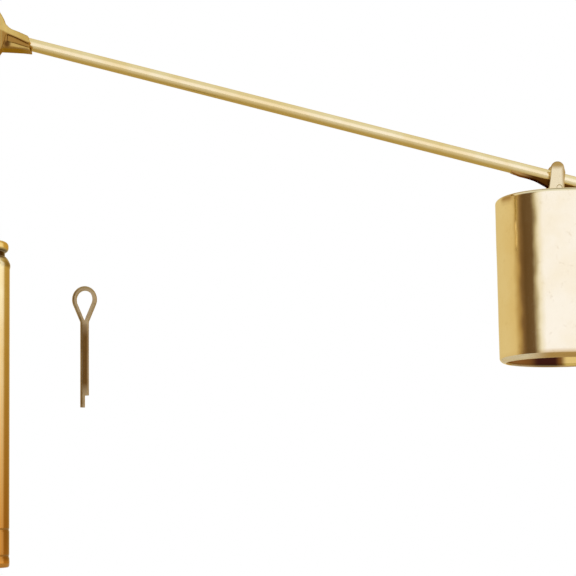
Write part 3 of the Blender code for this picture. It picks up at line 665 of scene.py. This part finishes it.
def valve_head():
    """Cast head: round chamber, outlet boss and the two ears of the fulcrum."""
    low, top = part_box("valve_head")[0].z, 0.2032
    tail, radius, shoulder = 0.0095, 0.0110, 0.1830
    outside = [(0, low), (tail, low), (tail, shoulder - 0.0010), (radius, shoulder), (radius, top), (0, top)]
    head = lathe("valve_head_fine", outside, 96, 0.0005)
    ear_round, ear_back, ear_foot, boss_radius, boss_end = 0.0085, -0.0030, 0.1925, 0.0075, 0.0150
    outline = arc(FULCRUM.x, FULCRUM.z, ear_round, -28, 192, 40)
    outline += [(0.0098, top), (ear_back, top - 0.0010), (ear_back, ear_foot), (boss_radius, ear_foot),
                (0.0190, 0.2020)]
    joined = both_sides("ear", outline, 0.0049, 0.0089)
    joined.append(lathe("outlet", band(0, boss_radius, 0, boss_end), 64, 0.0004, (0, 0, OUTLET_Z), ALONG_X))
    water_way, seat_bore, chamber, seat_floor = 0.0060, 0.0068, 0.0080, 0.1775
    bore = [(0, low - 0.0010), (water_way, low - 0.0010), (water_way, seat_floor), (seat_bore, seat_floor),
            (seat_bore, shoulder), (chamber, shoulder), (chamber, top + 0.0010), (0, top + 0.0010)]
    socket, start, step, end = DROP_RADIUS + 0.0002, 0.0050, 0.0091, 0.0170
    way_out = [(0, start), (DROP_BORE, start), (DROP_BORE, step), (socket, step), (socket, end), (0, end)]
    cut = [lathe("bore", bore, 64, 0),
           lathe("way_out", way_out, 48, 0, (0, 0, OUTLET_Z), ALONG_X),
           cross_rod("ear_hole", FULCRUM, PIN_HOLE, 0.012)]
    return cast(fuse(head, joined, cut), voxel=0.00030, rounds=5)


def valve_seat():
    """Nylon nozzle with a flange and a raised crown."""
    low, high = z_span("valve_seat")
    bore, spigot, rim, crown, flange = 0.0030, 0.0065, 0.0077, 0.0045, 0.1833
    profile = [(bore, low), (spigot, low), (spigot, flange), (rim, flange), (rim, flange + 0.0012),
               (crown, flange + 0.0014), (crown - 0.0008, high), (bore, high)]
    return lathe("valve_seat_fine", profile, 72, 0.0002)


def bonnet_nut():
    """Gland nut with its spigot in the chamber and the ring's groove inside."""
    low_spigot, high = z_span("bonnet_nut")
    low, groove_low, groove_high = 0.2035, 0.2046, 0.2074
    guide, groove, spigot, lead = 0.0038, 0.0059, 0.0077, 0.0005
    rest = [(spigot, low), (spigot, low_spigot + lead), (spigot - lead, low_spigot), (guide + 0.0004, low_spigot),
            (guide, low_spigot + 0.0004), (guide, groove_low), (groove, groove_low), (groove, groove_high),
            (guide, groove_high), (guide, high - lead), (guide + lead, high)]
    return hex_nut("bonnet_nut_fine", 0.0170, low, high, rest)


def stem_ring():
    """Rubber ring in the bonnet nut's groove."""
    middle, height, half_thick = 0.00475, 0.2060, 0.00085
    return lathe("stem_ring_fine", arc(middle, height, half_thick, 0, 345, 23), 72, 0)


def split_pin(name, left_leg, right_leg, straight, spread, location, rotation):
    """Half-round wire folded into an eye, with legs that part below the straight stretch."""
    half_gap, neck = 0.00003, 0.001
    eye_radius, eye_height, stretch = 0.0032, 0.0093, 1.15

    def leg(side, length):
        """One leg from its top down, along its inner face."""
        points = [(side * half_gap, -neck - (straight - neck) * i / 6) for i in range(7)]
        rest = length - straight
        for i in range(1, 9):
            part = i / 8
            if rest > 0:
                points.append((side * (half_gap + rest * part * part * math.tan(spread)), -straight - rest * part))
        return points

    eye_z = eye_height / stretch
    tangent = math.degrees(math.asin(eye_radius / eye_z))
    eye = [(x, z * stretch) for x, z in arc(0, eye_z, eye_radius, -tangent, 180 + tangent, 48)]
    root = [(half_gap, 0), (half_gap * 1.6, 0.0009)]
    path = leg(1, right_leg)[::-1] + root + eye + [(-x, z) for x, z in reversed(root)] + leg(-1, left_leg)
    turns = [math.pi * i / 16 for i in range(17)]
    half_round = [(-SPLIT_RADIUS * math.sin(turn) - 0.00004, SPLIT_RADIUS * math.cos(turn)) for turn in turns]
    half_round += [(0.0, -SPLIT_RADIUS * 0.92), (0.0, SPLIT_RADIUS * 0.92)]
    pin = skin(name, capped(path_rings(path, half_round)), smooth_angle=50)
    # Painted shade along the seam between the legs.
    mark(pin, "core_shade", lambda co: ramp(-co.z, -0.0010, 0.0030) * (1 - ramp(-co.z, right_leg - 0.0005, right_leg))
         * (1 - ramp(abs(co.x - 0.0003), 0.0006, 0.0015)))
    place(pin, location, rotation)
    return pin


# Outlet


def drop_pipe():
    """Bent pipe from the head's outlet down into the collar."""
    bend_z = OUTLET_Z - DROP_BEND
    end_x = HUSH_AT.x - (bend_z - HUSH_AT.z) * math.tan(HUSH_TILT)
    bend = arc(end_x - DROP_BEND, bend_z, DROP_BEND, 90, math.degrees(HUSH_TILT), 24)
    fall = 0.0120
    foot = (HUSH_AT.x + fall * math.sin(HUSH_TILT), HUSH_AT.z - fall * math.cos(HUSH_TILT))
    start = (0.0094, OUTLET_Z)
    path = [start] + bend + [foot]

    def ring(radius):
        turns = [math.tau * i / 64 for i in range(64)]
        return [(radius * math.cos(turn), radius * math.sin(turn)) for turn in turns]

    outer, inner = path_rings(path, ring(DROP_RADIUS)), path_rings(path, ring(DROP_BORE))
    return skin("drop_pipe_fine", outer + inner[::-1], loop=True)


def hush_collar():
    """Turned collar: a short sleeve, a rounded bead and the neck inside the tube."""
    bore, sleeve, neck = DROP_RADIUS + 0.0002, 0.0070, HUSH_NECK
    top, bottom, bead_round = 0.0060, -0.0130, 0.0016
    bead_x = 0.0105 - bead_round
    profile = [(bore, top), (sleeve - 0.0004, top), (sleeve, top - 0.0005), (sleeve, -0.0026)]
    profile += arc(bead_x, -0.0042, bead_round, 90, 0, 10) + arc(bead_x, -0.0050, bead_round, 0, -90, 10)
    profile += [(neck, -0.0067), (neck, bottom), (bore, bottom)]
    collar = lathe("hush_collar_fine", profile, 112, 0.00015)
    # Painted shade in the neck under the bead.
    mark(collar, "painted_neck_shade", lambda co: ramp(-co.z, 0.0054, 0.0065))
    place(collar, HUSH_AT, ALONG_TUBE)
    return collar


def hush_tube():
    """Tube with a swaged shoulder, two rolled grooves near its foot and an open end."""
    mouth, inner, rim = HUSH_NECK + GAP, HUSH_RADIUS - 0.0010, HUSH_RADIUS + 0.0002
    top, fall, bottom = -0.0084, 0.0030, -HUSH_LENGTH
    grooves = (bottom + 0.0140, bottom + 0.0040)
    bed = HUSH_RADIUS - 0.00015

    def groove(z):
        return [(HUSH_RADIUS, z + 0.0008), (bed, z + 0.0004), (bed, z), (HUSH_RADIUS, z - 0.0004)]

    profile = [
        (mouth, top), (rim - 0.0011, top - 0.0008), (rim - 0.0005, top - 0.0018), (rim, top - fall),
        (rim, top - fall - 0.0010), (HUSH_RADIUS, top - fall - 0.0020),
        *groove(grooves[0]), *groove(grooves[1]),
        (HUSH_RADIUS + 0.0001, bottom + 0.0020), (HUSH_RADIUS, bottom + 0.0005), (HUSH_RADIUS - 0.0004, bottom),
        (inner, bottom), (inner, top - fall), (inner - 0.0003, top - 0.0010), (mouth, top - 0.0010),
    ]
    tube = lathe("hush_tube_fine", profile, 144, 0.0003)
    # Painted shade on the inner faces.
    mark(tube, "inside", lambda co: ramp(co.xy.length, HUSH_RADIUS - 0.0005, HUSH_RADIUS - 0.0009))
    mark(tube, "warm", lambda co: ramp(-co.z, 0.012, 0.060))
    mark(tube, "lower", lambda co: ramp(-co.z, 0.026, 0.125))

    def painted_shade_patch(co):
        """Painted shade in the grooves and on the shoulder, on the side towards the float."""
        ring = max(0.55 * (1 - ramp(abs(co.z - z), 0.0004, 0.0022)) for z in grooves)
        side = 1 - ramp(abs(math.atan2(co.y, co.x)), 0.25, 0.9)
        return side * max(ring, 0.75 * (1 - ramp(abs(co.z + 0.0116), 0.0008, 0.0026)))

    mark(tube, "painted_shade_patch", painted_shade_patch)
    place(tube, HUSH_AT, ALONG_TUBE)
    return tube


# Lever and rod


def rod_z(x):
    """Height of the rod's axis at x."""
    return ROD_START.z - (x - ROD_START.x) * math.tan(ROD_SLOPE)


def above_line(co, x, z, slope, soft):
    """0 below a sloping line through (x, z), rising to 1 at soft above it."""
    level = z + (co.x - x) * slope
    return ramp(co.z, level, level + soft)


def lever():
    """Cast lever: hub tapered at its rear, fork over the plunger, and an arm with a rib above and one below."""
    section = [(0, -HUB_HALF), (HUB_REAR_RADIUS, -HUB_HALF), (HUB_RADIUS, 0), (HUB_RADIUS, HUB_HALF), (0, HUB_HALF)]
    hub = lathe("lever_fine", section, 128, 0.0007, FULCRUM, ALONG_Y)
    top_edge = [(0.0240, 0.2300), (0.0322, 0.2275), (0.0334, 0.2258), (0.0348, 0.2243), (0.0360, 0.2235),
                (0.0384, 0.2226), (0.0424, 0.2208)]
    arm = prism("arm", top_edge + [(0.0432, 0.2150), (0.0397, 0.2154), (0.0327, 0.2158), (0.0240, 0.2161)],
                -ARM_HALF, ARM_HALF, 0.0008)
    prongs = arc(0, LINK_AT.z, 0.0046, 95, 265, 24) + [(0.0100, 0.2140), (0.0160, 0.2218), (0.0100, 0.2295)]
    fork = prism("fork", prongs, -HUB_HALF, HUB_HALF)
    cut = [block("fork_slot", (-0.0080, -0.0026, 0.2030), (0.0090, 0.0026, 0.2400))]
    recess = [(0.0341, 0.2214), (0.0370, 0.2203), (0.0410, 0.2183), (0.0434, 0.2171), (0.0437, 0.2157),
              (0.0408, 0.2166), (0.0368, 0.2179), (0.0341, 0.2184)]
    cut += both_sides("recess", recess, 0.0032, 0.0060)
    body = fuse(hub, [arm, fork], cut)
    rib_under = [(0.0431, 0.2178), (0.0410, 0.2184), (0.0370, 0.2203), (0.0338, 0.2215), (0.0240, 0.2260)]
    rib_half = 0.0041
    rib = prism("rib", [(x, z - 0.0001) for x, z in top_edge] + rib_under, -rib_half, rib_half)
    socket_radius, socket_length, socket_x = 0.00262, 0.0150, ROD_START.x - 0.0004
    socket = lathe("socket", band(0, socket_radius, 0, socket_length), 48, 0, (socket_x, 0, rod_z(socket_x)),
                   ALONG_ROD)
    holes = [socket, cross_rod("hub_hole", FULCRUM, PIN_HOLE, 0.012),
             cross_rod("fork_hole", LINK_AT, LINK_HOLE, 0.012)]
    body = cast(fuse(body, [rib], holes), voxel=0.00022, rounds=4)

    def recessed(co):
        """Painted shade on the hollows under the upper rib, without the lower rib."""
        below_rib = 1 - above_line(co, 0.0338, 0.2216, -0.456, 0.0009)
        if co.x < 0.0323:
            return 0.75 * below_rib * ramp(co.x, 0.0240, 0.0275)
        low_rib = above_line(co, 0.0368, 0.2160, -0.26, 0.0008) * ramp(co.x, 0.0338, 0.0360)
        low_rib *= 1 - above_line(co, 0.0368, 0.2176, -0.357, 0.0008)
        return below_rib * (1 - 0.7 * low_rib) * (1 - ramp(co.x, 0.0425, 0.0438))

    def deep(co):
        """Painted dark shade in the pit where the arm leaves the hub."""
        return 0.8 * (1 - ramp(math.hypot(co.x - 0.0342, co.z - 0.2175), 0.0006, 0.0019))

    mark(body, "recess", recessed)
    mark(body, "deep", deep)
    return body


def float_rod():
    """Straight rod from the arm's socket to the float."""
    length = (ROD_END_X - ROD_START.x) / math.cos(ROD_SLOPE)
    return lathe("float_rod_fine", band(0, ROD_RADIUS, 0, length), 64, 0.0005,
                 (ROD_START.x, 0, rod_z(ROD_START.x)), ALONG_ROD)


def rod_saddle():
    """Tapered block brazed to the rod's underside, bored for the rivet."""
    left, right, half = 0.2330, 0.2590, 0.0018
    reach = ROD_RADIUS / math.cos(ROD_SLOPE)
    boss = arc(FLOAT_PIVOT.x, FLOAT_PIVOT.z, 0.0019, 225, 300, 12)
    outline = [(left, rod_z(left) - reach * 0.95), (0.2368, 0.1648), (0.2400, 0.1640), (0.2430, 0.1629),
               (0.2448, 0.1619), (0.2474, 0.1604)]
    outline += boss + [(right, rod_z(right) - reach - 0.0007), (right, rod_z(right) - reach * 0.5),
                       (left, rod_z(left) - reach * 0.5)]
    saddle = prism("rod_saddle_fine", outline, -half, half)
    hole = cross_rod("rivet_hole", FLOAT_PIVOT, RIVET_HOLE, 0.004)
    saddle = cast(fuse(saddle, cut=[hole]), voxel=0.00018, rounds=4)
    # The thin left end is painted lighter than the shaded rest.
    mark(saddle, "thin", lambda co: 1 - ramp(co.x, left + 0.0015, left + 0.0095))
    return saddle


def link_pin():
    """Pin through the fork, with a head at each end."""
    head, half, radius = 0.0020, HUB_HALF + GAP, 0.0012
    end = half + 0.0008
    profile = [(0, -end), (head, -end), (head, -half), (radius, -half), (radius, half), (head, half), (head, end),
               (0, end)]
    return lathe("link_pin_fine", profile, 48, 0.0003, LINK_AT, ALONG_Y)


# Plunger


def plunger():
    """Stem with a cupped foot and a flat slotted eye."""
    hole, cup, foot, stem = 0.0013, 0.0059, 0.0069, 0.0035
    low, cup_top, foot_top, hole_top, stem_top = 0.1924, 0.1949, 0.1972, 0.1985, 0.2163
    profile = [(0, hole_top), (hole, hole_top), (hole, cup_top), (cup, cup_top), (cup, low), (foot, low),
               (foot, foot_top), (stem, foot_top), (stem, stem_top), (0, stem_top)]
    body = lathe("plunger_fine", profile, 64, 0.0002)
    outline = arc(0, LINK_AT.z, 0.0045, -20, 200, 32) + [(-0.0034, stem_top - 0.0010), (0.0034, stem_top - 0.0010)]
    eye = prism("eye", outline, -0.0021, 0.0021)
    slot = arc(0.0008, LINK_AT.z, LINK_HOLE, -90, 90, 16) + arc(-0.0001, LINK_AT.z, LINK_HOLE, 90, 270, 16)
    return cast(fuse(body, [eye], [prism("slot", slot, -0.004, 0.004)]), voxel=0.0002, rounds=3)


def washer_screw():
    """Slotted screw with its head down."""
    head, shank, low, neck, high = 0.0024, 0.0010, 0.1902, 0.1913, 0.1980
    profile = [(0, low), (head - 0.0004, low), (head, low + 0.0003), (head, neck), (shank, neck), (shank, high),
               (0, high)]
    screw = lathe("washer_screw_fine", profile, 48, 0.0001)
    return fuse(screw, cut=[block("slot", (-0.004, -0.0003, 0.1890), (0.004, 0.0003, 0.1907))])


# Float


def leaned(obj):
    """Leans a piece of the float as it hangs, about the rivet."""
    at = Matrix.Translation(FLOAT_PIVOT)
    obj.data.transform(at @ Matrix.Rotation(-FLOAT_LEAN, 4, "Y") @ at.inverted())
    return obj


def float_can():
    """Spun cup, open below: rounded shoulder, a flattened lip rolled inwards and a faintly uneven wall."""
    shoulder, lip, flat = 0.0018, 0.0028, 0.7
    outer, wall = FLOAT_RADIUS, FLOAT_WALL
    hole, crown = 0.0028, 0.0120
    lip_x, lip_z = outer - lip, FLOAT_BOTTOM + lip * flat
    shoulder_x, shoulder_z = outer - shoulder, FLOAT_TOP - shoulder
    profile = [(hole, FLOAT_TOP), (crown, FLOAT_TOP)] + arc(shoulder_x, shoulder_z, shoulder, 90, 0, 12)
    sides, tall = 40, shoulder_z - lip_z
    profile += [(outer, shoulder_z - tall * i / sides) for i in range(1, sides)]
    rolled = arc(lip_x, 0, lip, 0, -80, 14) + arc(lip_x, 0, lip - wall, -80, 0, 12)
    profile += [(x, lip_z + z * flat) for x, z in rolled]
    profile += arc(shoulder_x, shoulder_z, shoulder - wall, 0, 90, 8)
    profile += [(hole, FLOAT_TOP - wall)]
    can = lathe("float_can_fine", profile, 192, 0)
    middle = outer - wall * 0.5

    def inside(co):
        """1 on the inner faces and 0 on the outer ones, where the wall's middle divides them."""
        reach = co.xy.length
        if co.z > lip_z:
            return float(reach < middle and co.z < FLOAT_TOP - wall * 0.5)
        return float(math.hypot(reach - lip_x, (co.z - lip_z) / flat) < lip - wall * 0.5)

    # Painted light and shade: the inner faces darker, darkest a little left of the middle, a painted reflection of
    # light on the inner wall towards the right, and the lip's underside darker towards the right.
    mark(can, "inside", inside)
    mark(can, "core_shade", lambda co: inside(co) * ramp(co.x, -0.0105, -0.0060) * (1 - ramp(co.x, 0.0008, 0.0028)))
    mark(can, "inner_painted_light", lambda co: inside(co) * ramp(co.x, 0.0028, 0.0056))
    mark(can, "lip", lambda co: (1 - inside(co)) * (1 - ramp(co.z, lip_z - 0.0006, lip_z + 0.0010))
         * (0.15 + 0.75 * ramp(co.x, -0.0180, -0.0080)))

    def painted_shade_patch(co):
        """Painted shade: a dark patch on the shoulder's rounded edge, towards the left of the picture."""
        turn = math.degrees(math.atan2(co.x, -co.y))
        return 0.75 * (1 - ramp(abs(turn + 63), 4, 13)) * (1 - ramp(abs(co.z - shoulder_z), 0.0006, 0.0020))

    mark(can, "painted_shade_patch", painted_shade_patch)
    for vert in can.data.vertices:
        reach = vert.co.xy.length
        if reach > middle - 0.0030:
            dent = 0.00005 * (noise.noise(vert.co * 90.0) - 1) + 0.00002 * (noise.noise(vert.co * 320.0) - 1)
            vert.co.xy *= 1 + dent / reach
    place(can, FLOAT_AXIS)
    return leaned(can)


def float_clevis():
    """Foot plate with two tapered tongues astride the rod."""
    plate_low, plate_high, plate_radius = FLOAT_TOP + GAP, FLOAT_TOP + 0.0011, 0.0072
    tongue_top, crown = 0.1699, 0.0026
    plate = lathe("float_clevis_fine", band(0, plate_radius, plate_low, plate_high), 96, 0.0003, FLOAT_AXIS)
    outline = arc(-0.0004, tongue_top - crown, crown, 0, 172, 24)
    outline += [(-0.0033, 0.1645), (-0.0041, 0.1593), (-0.0043, plate_low + GAP), (0.0020, plate_low + GAP),
                (0.0021, 0.1620), (0.0026, 0.1655)]
    outline = [(FLOAT_PIVOT.x + x, z) for x, z in outline]
    tongues = both_sides("tongue", outline, 0.0029, 0.0047, 0.0004)
    hole = cross_rod("hole", FLOAT_PIVOT, RIVET_HOLE - 0.00005, 0.007)
    clevis = cast(fuse(plate, tongues, [hole]), voxel=0.00018, rounds=4)

    def rim(co):
        """Painted shade on the top and the right edge of the tongues."""
        across = co.x - FLOAT_PIVOT.x
        return max(ramp(co.z, 0.1662, 0.1685), ramp(across, 0.0006, 0.0022)) * ramp(co.z, plate_high, 0.1590)

    mark(clevis, "rim", rim)
    return leaned(clevis)


def float_stud():
    """Threaded stud of the foot plate, down through the can."""
    low, high, radius, pitch = 0.1490, FLOAT_TOP + 0.0005, 0.0025, 0.0008
    thread = thread_rings(low + 0.0004, high - 0.0004, radius, 0.0004, pitch, 64)
    ends = rings_at([(0, low), (radius - 0.0005, low), (radius - 0.0004, high), (0, high)], 64)
    stud = skin("float_stud_fine", ends[:2] + thread + ends[2:], smooth_angle=40)
    place(stud, FLOAT_AXIS)
    return leaned(stud)


def float_rivet():
    """Rivet through the tongues and the saddle."""
    half, radius = 0.0047, 0.0010
    return leaned(lathe("float_rivet_fine", band(0, radius, -half, half), 48, 0.0002, FLOAT_PIVOT, ALONG_Y))


def stud_nut():
    """Nut on the stud, inside the cup."""
    high = FLOAT_TOP - FLOAT_WALL - 0.0018
    low = high - 0.0032
    bore = plain_bore(0.0028, low, high, 0.0004)
    return leaned(hex_nut("stud_nut_fine", 0.0090, low, high, bore, FLOAT_AXIS, 96))


def stud_washer():
    """Rubber washer between that nut and the cup."""
    high = FLOAT_TOP - FLOAT_WALL - GAP
    low = high - 0.0012
    bore, outer = 0.0028, 0.0065
    return leaned(lathe("stud_washer_fine", band(bore, outer, low, high), 72, 0.0003, FLOAT_AXIS))


# Each piece: the body it rides on, the CAD node it stands for, its material and the record's slot

PIECES = [
    (tail_shank(), "valve", "tail_shank", "machined", "cast_brass"),
    (washer("tank_washer", 0.0108, 0.0175), "valve", "tank_washer", "rubber", "rubber"),
    (washer("clamp_washer", 0.0108, 0.0165), "valve", "clamp_washer", "nylon", "nylon"),
    (lock_nut(), "valve", "lock_nut", "machined", "cast_brass"),
    (coupling_nut(), "valve", "coupling_nut", "machined", "cast_brass"),
    (cone_washer(), "valve", "cone_washer", "rubber", "rubber"),
    (inlet_filter(), "valve", "inlet_filter", "nylon", "nylon"),
    (standpipe(), "valve", "standpipe", "tube", "polished_brass"),
    (washer("union_washer", 0.0066, 0.0090), "valve", "union_washer", "rubber", "rubber"),
    (union_nut(), "valve", "union_nut", "machined", "cast_brass"),
    (valve_head(), "valve", "valve_head", "cast", "cast_brass"),
    (valve_seat(), "valve", "valve_seat", "nylon", "nylon"),
    (bonnet_nut(), "valve", "bonnet_nut", "machined", "cast_brass"),
    (stem_ring(), "valve", "stem_ring", "rubber", "rubber"),
    (split_pin("fulcrum_split_pin_fine", left_leg=0.0290, right_leg=0.0250, straight=0.0190,
               spread=math.radians(28), location=(FULCRUM.x, -0.0094, FULCRUM.z), rotation=ALONG_Y),
     "valve", "fulcrum_split_pin", "bronze", "dull_bronze"),
    (split_pin("spare_split_pin_fine", left_leg=0.0326, right_leg=0.0280, straight=0.0279, spread=0.0,
               location=SPARE_PIN_AT, rotation=(0, -SPARE_PIN_LEAN, 0)),
     "valve", "spare_split_pin", "bronze", "dull_bronze"),
    (drop_pipe(), "valve", "drop_pipe", "turned", "polished_brass"),
    (hush_collar(), "valve", "hush_collar", "turned", "polished_brass"),
    (hush_tube(), "valve", "hush_tube", "tube", "polished_brass"),
    (lever(), "lever", "lever", "cast", "cast_brass"),
    (float_rod(), "lever", "float_rod", "rod", "polished_brass"),
    (rod_saddle(), "lever", "rod_saddle", "saddle_shade", "cast_brass"),
    (link_pin(), "lever", "link_pin", "turned", "polished_brass"),
    (plunger(), "plunger", "plunger", "turned", "polished_brass"),
    (washer("seat_washer", 0.0013, 0.0056), "plunger", "seat_washer", "rubber", "rubber"),
    (washer_screw(), "plunger", "washer_screw", "turned", "polished_brass"),
    (float_can(), "float", "float_can", "can", "polished_brass"),
    (float_clevis(), "float", "float_clevis", "clevis", "cast_brass"),
    (float_stud(), "float", None, "machined", "cast_brass"),
    (float_rivet(), "float", "float_rivet", "clevis", "cast_brass"),
    (stud_nut(), "float", "stud_nut", "machined", "cast_brass"),
    (stud_washer(), "float", "stud_washer", "rubber", "rubber"),
]

# Pieces that no other piece mirrors
APART = {"spare_split_pin", "standpipe", "hush_tube", "hush_collar", "drop_pipe", "float_can", "tail_shank",
         "tank_washer", "clamp_washer", "lock_nut", "coupling_nut", "cone_washer", "inlet_filter"}

for piece, body, node, finish, slot in PIECES:
    piece.visible_glossy = node not in APART
    piece.data.materials.clear()
    piece.data.materials.append(MATERIALS[finish])
    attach(piece, body)
    if node:
        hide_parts(node)


# Stage, light and camera

FLOOR_RINGS = (0, 0.1, 0.6, 1.25)


def make_floor():
    """Plain pale floor under the valve."""
    floor = skin("floor", rings_at([(radius, FLOOR_Z) for radius in FLOOR_RINGS], 128))
    nodes = Surface("floor_pale")
    tone = nodes.spread(nodes.noise(8.0, 2.0), NOISE_RANGE)
    nodes.set("Base Color", nodes.mix(tone, (0.80, 0.79, 0.77), (0.83, 0.82, 0.80)))
    nodes.set("Roughness", 0.7)
    floor.data.materials.append(nodes.material)
    place(floor, (CAMERA_AIM.x, 0, 0))


# Colours of the studio's walls by azimuth, in degrees from the camera's side (-Y) towards +X
SIDES = [
    (-180, (0.62, 0.55, 0.36)), (-143, (0.60, 0.50, 0.28)), (-103, (0.57, 0.44, 0.21)), (-92, (0.38, 0.25, 0.09)),
    (-83, (0.16, 0.09, 0.035)), (-76, (0.10, 0.055, 0.02)), (-60, (0.12, 0.07, 0.03)), (-54, (0.38, 0.32, 0.2)),
    (-48, (0.70, 0.67, 0.60)), (-38, (0.80, 0.81, 0.93)), (60, (0.80, 0.81, 0.93)), (80, (0.98, 0.98, 1.0)),
    (110, (0.98, 0.98, 1.0)), (120, (0.56, 0.42, 0.13)), (138, (0.54, 0.39, 0.12)), (158, (0.52, 0.38, 0.14)),
    (172, (0.62, 0.55, 0.36)),
]
SIDE_STRENGTH = 1.3

# The ceiling's colour, and the range of the direction's z over which the walls turn into it
CEILING = (0.62, 0.62, 0.55)
CEILING_RISE = (0.45, 0.85)


def make_world():
    """A round studio: walls in the colours of SIDES and a pale ceiling. The camera itself sees plain white."""
    world = bpy.data.worlds.new("studio")
    world.use_nodes = True
    world.node_tree.nodes.clear()
    nodes = Nodes(world.node_tree)
    outward = nodes.add("ShaderNodeTexCoord").outputs["Generated"]
    direction = nodes.add("ShaderNodeSeparateXYZ", {"Vector": outward}).outputs
    azimuth = nodes.math("ARCTAN2", direction["X"], nodes.math("MULTIPLY", direction["Y"], -1.0))
    turn = nodes.add("ShaderNodeMapRange", {"Value": azimuth, "From Min": -math.pi, "From Max": math.pi})
    walls = nodes.add("ShaderNodeValToRGB", {"Fac": turn.outputs["Result"]})
    stops = walls.color_ramp.elements
    for stop, position in zip(stops, (0.0, 1.0)):
        stop.position, stop.color = position, opaque(SIDES[0][1])
    for degrees, colour in SIDES[1:]:
        stops.new(degrees / 360 + 0.5).color = opaque(colour)
    room = nodes.mix(nodes.spread(direction["Z"], CEILING_RISE), walls.outputs["Color"], CEILING)
    lit = nodes.add("ShaderNodeBackground", {"Color": room, "Strength": SIDE_STRENGTH})
    seen = nodes.add("ShaderNodeBackground", {"Color": (1.0, 1.0, 1.0, 1.0)})
    to_camera = nodes.add("ShaderNodeLightPath").outputs["Is Camera Ray"]
    choose = nodes.add("ShaderNodeMixShader", {"Fac": to_camera, 1: lit.outputs[0], 2: seen.outputs[0]})
    nodes.add("ShaderNodeOutputWorld", {"Surface": choose.outputs[0]})
    bpy.context.scene.world = world


def make_light(name, location, aim, size, power):
    """A rectangular lamp with no image of its own in the picture or in the brass."""
    data = bpy.data.lights.new(name, "AREA")
    data.shape = "RECTANGLE"
    data.size, data.size_y = size
    data.energy = power
    lamp = bpy.data.objects.new(name, data)
    lamp.location = location
    lamp.rotation_euler = (Vector(aim) - Vector(location)).to_track_quat("-Z", "Y").to_euler()
    lamp.visible_camera = False
    lamp.visible_glossy = False
    bpy.context.scene.collection.objects.link(lamp)


def make_camera():
    """The camera, level from side to side, below the valve's middle and looking up at it."""
    data = bpy.data.cameras.new("camera")
    data.lens = CAMERA_LENS
    data.sensor_width = CAMERA_SENSOR
    camera = bpy.data.objects.new("camera", data)
    back = Vector((0, -math.cos(CAMERA_RISE), -math.sin(CAMERA_RISE)))
    camera.location = CAMERA_AIM + back * CAMERA_DISTANCE
    camera.rotation_euler = (math.pi / 2 + CAMERA_RISE, 0, 0)
    bpy.context.scene.collection.objects.link(camera)
    bpy.context.scene.camera = camera


make_floor()
make_world()
make_light("key", location=(0.75, -0.9, 0.8), aim=(0.14, 0, 0.12), size=(0.9, 0.7), power=0.8)
make_camera()
bpy.context.scene.view_settings.view_transform = "Standard"
